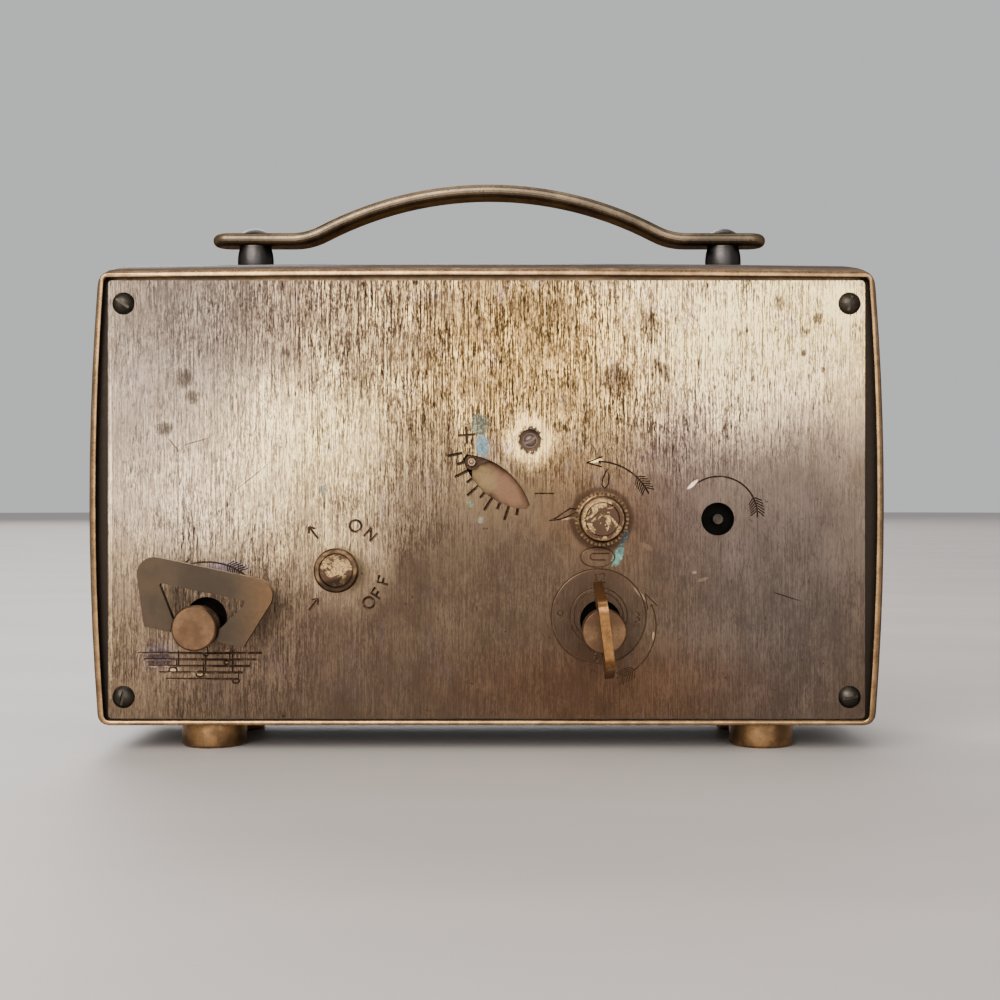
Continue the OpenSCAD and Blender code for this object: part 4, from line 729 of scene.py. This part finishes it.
class Grooves(Strokes):
    """V-shaped strokes in the plate's plane, which become one cutter."""

    def stroke(self, origin, points, width=GROOVE_W, depth=GROOVE_DEPTH):
        path = [Vector((origin.x - u * MM, origin.z + v * MM)) for u, v in points]
        closed, runs = self.runs(path, 1e-7)
        top = PLATE_Y + CUTTER_PROUD * MM
        spread = 1 + CUTTER_PROUD / depth
        rings = []
        for p, run in zip(path, runs):
            across = Vector((-run.y, run.x)) * (width / 2 * MM)
            rings.append([
                self.mesh.verts.new((p.x + across.x * spread, top, p.y + across.y * spread)),
                self.mesh.verts.new((p.x - across.x * spread, top, p.y - across.y * spread)),
                self.mesh.verts.new((p.x, PLATE_Y - depth * MM, p.y)),
            ])
        self.skin(rings, closed)

    def ring(self, origin, radius, width):
        self.stroke(origin, curve(radius, 0, 360, 48), width)

    def glyph(self, origin, letter, size, turn, width):
        """A letter, digit or sign of strokes, centred on the origin and turned by an angle."""
        c, s = polar(1, turn)
        for line in GLYPHS[letter]:
            points = [((x * c - y * s) * size, (x * s + y * c) * size) for x, y in line]
            self.stroke(origin, points, width)

    def arrow(self, origin, radius, tip, tail):
        """An arrow bent round the origin, from its feathered tail to its barbed tip."""
        step = math.copysign(math.degrees(1 / radius), tip - tail)
        self.stroke(origin, curve(radius, tail, tip - step * 2.4, 20), ARROW_W)
        for side in (-1, 1):
            barb = polar(radius + side * 1.05, tip - step * 3.3)
            self.stroke(origin, [polar(radius, tip), barb, polar(radius, tip - step * 2.5)], BARB_W)
            for k in range(FEATHERS):
                at = tail + step * (0.3 + 0.55 * k)
                feather = [polar(radius + side * 0.2, at + step), polar(radius + side * 1.4, at)]
                self.stroke(origin, feather, FEATHER_W)

    def finish(self):
        cutter = self.to_object("groove_cutter", grime())
        cutter.hide_render = True
        cutter.hide_viewport = True
        return cutter


# Strokes of the signs, in units of their height, centred on the origin
GLYPHS = {
    "O": [bend(0, 0, 0.5, 0, 360, 20)],
    "N": [[(-0.36, -0.5), (-0.36, 0.5)], [(-0.36, 0.46), (0.36, -0.46)], [(0.36, -0.5), (0.36, 0.5)]],
    "F": [[(-0.3, -0.5), (-0.3, 0.5), (0.34, 0.5)], [(-0.3, 0.03), (0.22, 0.03)]],
    "0": [bend(0, 0.2, 0.3, 0, 180, 10) + bend(0, -0.2, 0.3, 180, 360, 10) + [(0.3, 0.2)]],
    "1": [[(-0.2, 0.3), (0.0, 0.5), (0.0, -0.5)]],
    "2": [bend(0, 0.2, 0.3, 160, -40, 10) + [(-0.32, -0.5), (0.34, -0.5)]],
    "3": [bend(0, 0.24, 0.26, 150, -90, 10) + bend(0, -0.23, 0.28, 90, -150, 10)[1:]],
    "4": [[(0.14, -0.5), (0.14, 0.5), (-0.34, -0.2), (0.34, -0.2)]],
    "5": [[(0.28, 0.5), (-0.2, 0.5), (-0.26, 0.08)] + bend(0, -0.19, 0.31, 130, -140, 12)],
    "6": [bend(0, -0.22, 0.28, 90, 450, 16), [(-0.28, -0.2), (-0.2, 0.2), (0.12, 0.5)]],
    "7": [[(-0.32, 0.5), (0.32, 0.5), (-0.06, -0.5)]],
    "8": [bend(0, 0.26, 0.24, -90, 270, 16), bend(0, -0.24, 0.28, 90, 450, 16)],
    "9": [bend(0, 0.22, 0.28, -90, 270, 16), [(0.28, 0.2), (0.2, -0.2), (-0.12, -0.5)]],
    "+": [[(-0.5, 0), (0.5, 0)], [(0, -0.5), (0, 0.5)]],
    "-": [[(-0.5, 0), (0.5, 0)]],
}


def stamp_hand_marks(g):
    """Arrows for setting the alarm and the hands, and a small minute hand and hour hand."""
    g.arrow(beside(ALARM, 0.2, 0.8), 7.72, 146, -4)
    g.arrow(beside(CENTRE, -0.7, 0.3), 11.2, 102, 25)
    drop = ((0.6, 6.1), (0.1, 6.8), (0.2, 8.0), (1.2, 10.1), (1.5, 8.6), (1.3, 6.8), (0.6, 6.1))
    spade = (
        (-4.9, 1.9), (-6.3, 2.1), (-7.5, 1.3), (-9.1, 0.2), (-10.6, -0.3), (-8.3, -0.1), (-6.7, 0.5),
        (-5.1, 1.2),
    )
    for hand in (drop, spade):
        g.stroke(CENTRE, hand, 0.3)


def stamp_watch(g):
    """Watch outline round the clock key: rings, crown, bow and four numbers, and the key's arrow."""
    watch = beside(GOING, -0.56, 2.0)
    for radius, width in ((9.45, GROOVE_W), (5.7, 0.3), (4.9, 0.24)):
        g.ring(watch, radius, width)
    for side in (-1, 1):
        g.stroke(watch, [(side * 0.9, 9.5), (side * 0.7, 10.1)], 0.3)
    g.stroke(watch, bend(-0.2, 11.85, 3.4, 0, 360, 28, 0.6), 0.34)
    g.stroke(watch, [(2.2, 12.6), (-1.0, 12.6)] + bend(-1.0, 11.95, 0.65, 90, 270, 8) + [(1.4, 11.3)], 0.3)
    for sign, place in (("3", (7.6, -0.2)), ("9", (-7.6, 0.2)), ("6", (-0.6, -8.0))):
        g.glyph(beside(watch, *place), sign, 1.9, 0, 0.3)
    for sign, u in (("1", -0.5), ("2", 0.7)):
        g.glyph(beside(watch, u, 7.7), sign, 1.7, 0, 0.28)
    g.arrow(GOING, 10.9, 37, -74)


# Ends of the lines of the stave, from the top line down
STAVE_LINES = ((-13.8, 11.0), (-12.6, 10.0), (-11.6, 8.6), (-9.6, 7.2), (-8.2, 5.2))
STAVE_TOP, STAVE_STEP = -5.9, 1.3
# Bars of the stave: place, foot, head
STAVE_BARS = ((-5.7, -8.6, -5.4), (-0.3, -10.0, -6.0), (5.1, -9.8, -5.2))
# Notes on the stave: place and size
NOTES = ((-6.8, -9.3, 1.0), (-1.4, -10.1, 1.0), (-0.2, -6.2, 0.5), (4.0, -7.8, 0.7), (5.8, -11.5, 0.8))


def stamp_stave(g):
    """Arrow over the music key, and the stave under it with bars and notes."""
    g.arrow(MUSIC, 12.3, 120, 52)
    for k, (left, right) in enumerate(STAVE_LINES):
        v = STAVE_TOP - STAVE_STEP * k
        g.stroke(MUSIC, [(left, v), (right, v)], 0.5)
    for u, low, high in STAVE_BARS:
        g.stroke(MUSIC, [(u, low), (u, high)], 0.34)
    for u, v, size in NOTES:
        g.stroke(MUSIC, bend(u, v, size * 0.8, 0, 360, 14, 0.7), 0.4)
        g.stroke(MUSIC, [(u + size * 0.7, v), (u + size * 0.7, v + 2.2)], 0.26)


def stamp_switch_marks(g):
    """Marks of the on and off knob: an arrow out and ON above, an arrow in and OFF below."""
    for sign, angle in (("O", 71.6), ("N", 49.0)):
        g.glyph(beside(SWITCH, *polar(8.95, angle)), sign, 2.3, angle - 90, 0.54)
    for sign, angle in (("O", -51.5), ("F", -34.5), ("F", -15.5)):
        g.glyph(beside(SWITCH, *polar(8.75, angle)), sign, 2.2, angle + 90, 0.5)
    for angle, tail, tip in ((128, 7.6, 10.6), (-128, 10.6, 7.6)):
        away = polar(1, angle)
        across = (-away[1], away[0])
        ends = [(away[0] * r, away[1] * r) for r in (tail, tip)]
        g.stroke(SWITCH, ends, 0.42)
        back = 1.0 if tail > tip else -1.0
        for side in (-0.8, 0.8):
            barb = [ends[1][k] + away[k] * back * 1.1 + across[k] * side for k in (0, 1)]
            g.stroke(SWITCH, [ends[1], tuple(barb)], 0.42)


# Scale of the regulator: ticks by turns long and short, from an angle on, in equal steps
SCALE_TICKS, SCALE_START, SCALE_STEP = 10, 190.9, 7.67
SCALE_INNER, SCALE_LONG, SCALE_SHORT = 13.8, 16.8, 15.3


def stamp_regulator_scale(g):
    """Scale beside the regulator's slot, with its plus and minus."""
    for k in range(SCALE_TICKS):
        angle = SCALE_START + SCALE_STEP * k
        end = SCALE_LONG if k % 2 == 0 else SCALE_SHORT
        g.stroke(BALANCE, [polar(SCALE_INNER, angle), polar(end, angle)], 0.6, 0.22)
    g.glyph(beside(BALANCE, -12.7, 1.0), "+", 3.5, 4, 0.5)
    g.glyph(beside(BALANCE, 2.9, -10.7), "-", 3.8, 0, 0.34)


def stamp_plate():
    """One cutter with every stamped mark."""
    g = Grooves()
    for stamp in (stamp_hand_marks, stamp_watch, stamp_stave, stamp_switch_marks, stamp_regulator_scale):
        stamp(g)
    return g.finish()


def weld(piece):
    """Joins the doubled corners of a CAD piece, for the modifier that follows."""
    joined = piece.modifiers.new("weld", "WELD")
    joined.merge_threshold = 1e-6


def engrave(node, cutter):
    """Cuts the marks into a CAD piece; the walls of the grooves take the cutter's material."""
    plate = frame["nodes"][node]
    weld(plate)
    cut = plate.modifiers.new("stamped_marks", "BOOLEAN")
    cut.object = cutter
    cut.operation = "DIFFERENCE"
    cut.solver = "EXACT"
    cut.use_self = True
    cut.material_mode = "TRANSFER"


# How far the edges of these pieces are rounded, in millimetres
ROUNDED = (
    ("case_shell", 0.4), ("music_key_loop", 0.2), ("clock_key_loop", 0.2), ("on_off_knob", 0.12),
    ("hand_set_knob", 0.06), ("music_key_hub", 0.15), ("clock_key_hub", 0.15), ("feet", 0.25),
    ("back_plate", 0.1),
)


def soften(node, width):
    """Rounds the sharp edges of a CAD piece a little, so that they catch the light."""
    piece = frame["nodes"][node]
    weld(piece)
    edges = piece.modifiers.new("rounded_edges", "BEVEL")
    edges.width = width * MM
    edges.segments = 3
    edges.limit_method = "ANGLE"
    edges.angle_limit = math.radians(40)
    edges.harden_normals = True


def smooth_corners(node):
    """Shades the facets of a rounded corner as one curve, while the large faces stay flat."""
    normals = frame["nodes"][node].modifiers.new("smooth_corners", "WEIGHTED_NORMAL")
    normals.mode = "FACE_AREA"
    normals.keep_sharp = False


for rounded, width in ROUNDED:
    soften(rounded, width)
smooth_corners("case_shell")


# Print on the dial, seen from the front, where x runs to the right

PRINT_PROUD = 0.05
PRINT_SUNK = 0.01
ALARM_RING = 9.6


class Print(Strokes):
    """Flat strokes of paint standing a little proud of the dial."""

    def __init__(self):
        super().__init__()
        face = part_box("dial")[0].y
        self.back, self.front = face + PRINT_SUNK * MM, face - PRINT_PROUD * MM

    def stroke(self, points, width):
        path = [Vector(p) for p in points]
        closed, runs = self.runs(path, 1e-6)
        rings = []
        for i, (p, run) in enumerate(zip(path, runs)):
            across = Vector((-run.y, run.x)) * width / 2
            if not closed and i in (0, len(path) - 1):
                p = p + run * width * (0.3 if i else -0.3)
            row = [
                self.mesh.verts.new((CENTRE.x + q.x * MM, y, CENTRE.z + q.y * MM))
                for y in (self.front, self.back) for q in (p + across, p - across)
            ]
            rings.append([row[k] for k in (0, 1, 3, 2)])
        self.skin(rings, closed)

    def number(self, value, place, size, width):
        """A number of one or two figures, upright, centred on a place."""
        figures = str(value)
        advance = 0.72 * size
        for i, figure in enumerate(figures):
            shift = (i - (len(figures) - 1) / 2) * advance
            for line in GLYPHS[figure]:
                self.stroke([(place[0] + shift + x * size, place[1] + y * size) for x, y in line], width)

    def finish(self, name, slot, material):
        piece = self.to_object(name, material)
        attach(piece, "clock")


def print_dial():
    """Minute track, numbers and alarm ring in black, and a pale dot beyond each hour."""
    low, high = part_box("dial")
    reach = (high.x - low.x) / 2 / MM
    g = Print()
    for radius, width in ((reach - 2.6, 0.16), (reach - 4.4, 0.16), (ALARM_RING, 0.14)):
        g.stroke(curve(radius, 0, 360, 96), width)
    for minute in range(60):
        angle = 90 - 6 * minute
        if minute % 5:
            g.stroke([polar(reach - 4.3, angle), polar(reach - 2.7, angle)], 0.2)
        else:
            g.stroke([polar(reach - 4.9, angle), polar(reach - 2.5, angle)], 0.85)
    for quarter in range(48):
        angle = 7.5 * quarter
        outer, width = (10.3, 0.14) if quarter % 4 else (10.9, 0.26)
        g.stroke([polar(ALARM_RING, angle), polar(outer, angle)], width)
    for hour in range(1, 13):
        g.number(hour, polar(reach - 8.6, 90 - 30 * hour), 4.4, 0.62)
    g.finish("dial_print", "hand_black", materials["hand_black"])
    dots = Print()
    for hour in range(12):
        dots.stroke(bend(*polar(reach - 1.3, 30 * hour), 0.28, 0, 360, 12), 0.5)
    paint = enamel("glow_paint", (176, 190, 128), (150, 160, 108), (0.5, 0.6))
    dots.finish("dial_dots", "dial_enamel", paint)


print_dial()
engrave("back_plate", stamp_plate())


# Floor, light and camera

# The floor ends just before the softbox; past it, front views would show a dark band
FLOOR_RADIUS = 4.6
FLOOR_SHIFT = -1.5
# Area lights: name, place, width, height, power, colour
LIGHTS = (
    ("key", (0.5, 1.0, 0.7), 1.0, 0.8, 26, (1.0, 0.96, 0.9)),
    ("softbox", (-0.25, 3.3, 0.9), 4.2, 2.8, 105, (1.0, 0.97, 0.92)),
    ("front", (0.9, -2.5, 1.8), 2.4, 1.8, 80, (1.0, 1.0, 1.0)),
    ("top", (0.0, -0.1, 1.0), 0.6, 0.6, 3, (1.0, 1.0, 1.0)),
)
LIGHT_TARGET = (0, 0, 50 * MM)
WORLD_COLOUR = (0.78, 0.79, 0.8, 1)
WORLD_STRENGTH = 0.75
# The camera stands this far behind the back plate, across from the middle and over the floor, in mm
CAMERA_AWAY, CAMERA_ACROSS, CAMERA_UP = 300, -8.7, 50.4
LENS, SENSOR, LENS_SHIFT = 54.0, 36.0, -0.03


def make_floor():
    """Plain pale floor, a little cloudy."""
    mesh = bmesh.new()
    bmesh.ops.create_circle(mesh, cap_ends=True, radius=FLOOR_RADIUS, segments=64)
    bmesh.ops.translate(mesh, verts=mesh.verts, vec=(0, FLOOR_SHIFT, 0))
    floor = add_object("floor", mesh)
    g = Graph("floor")
    cloud = g.noise((160.0, 60.0, 60.0), 3.0, 0.5)
    colour = g.mix(g.band(cloud, 0.3, 0.7), (172, 164, 159), (163, 156, 152))
    floor.data.materials.append(g.finish(colour, 0.55, Metallic=0.0))


def area_light(name, place, width, height, power, colour):
    """Soft light aimed at the middle of the clock."""
    data = bpy.data.lights.new(name, "AREA")
    data.shape = "RECTANGLE"
    data.size = width
    data.size_y = height
    data.energy = power
    data.color = colour
    light = bpy.data.objects.new(name, data)
    bpy.context.scene.collection.objects.link(light)
    light.location = place
    aim = Vector(LIGHT_TARGET) - Vector(place)
    light.rotation_euler = aim.to_track_quat("-Z", "Y").to_euler()


def make_world():
    """Plain grey background, which also fills the shadows."""
    world = bpy.data.worlds.new("studio")
    world.use_nodes = True
    background = world.node_tree.nodes["Background"]
    background.inputs["Color"].default_value = WORLD_COLOUR
    background.inputs["Strength"].default_value = WORLD_STRENGTH
    bpy.context.scene.world = world


def make_camera():
    """The photograph's view: level and square to the back plate."""
    data = bpy.data.cameras.new("camera")
    data.lens = LENS
    data.sensor_width = SENSOR
    data.shift_x = LENS_SHIFT
    camera = bpy.data.objects.new("camera", data)
    bpy.context.scene.collection.objects.link(camera)
    camera.location = (CAMERA_ACROSS * MM, PLATE_Y + CAMERA_AWAY * MM, CAMERA_UP * MM)
    camera.rotation_euler = (math.radians(90), 0, math.radians(180))
    bpy.context.scene.camera = camera


make_floor()
make_world()
for light in LIGHTS:
    area_light(*light)
make_camera()
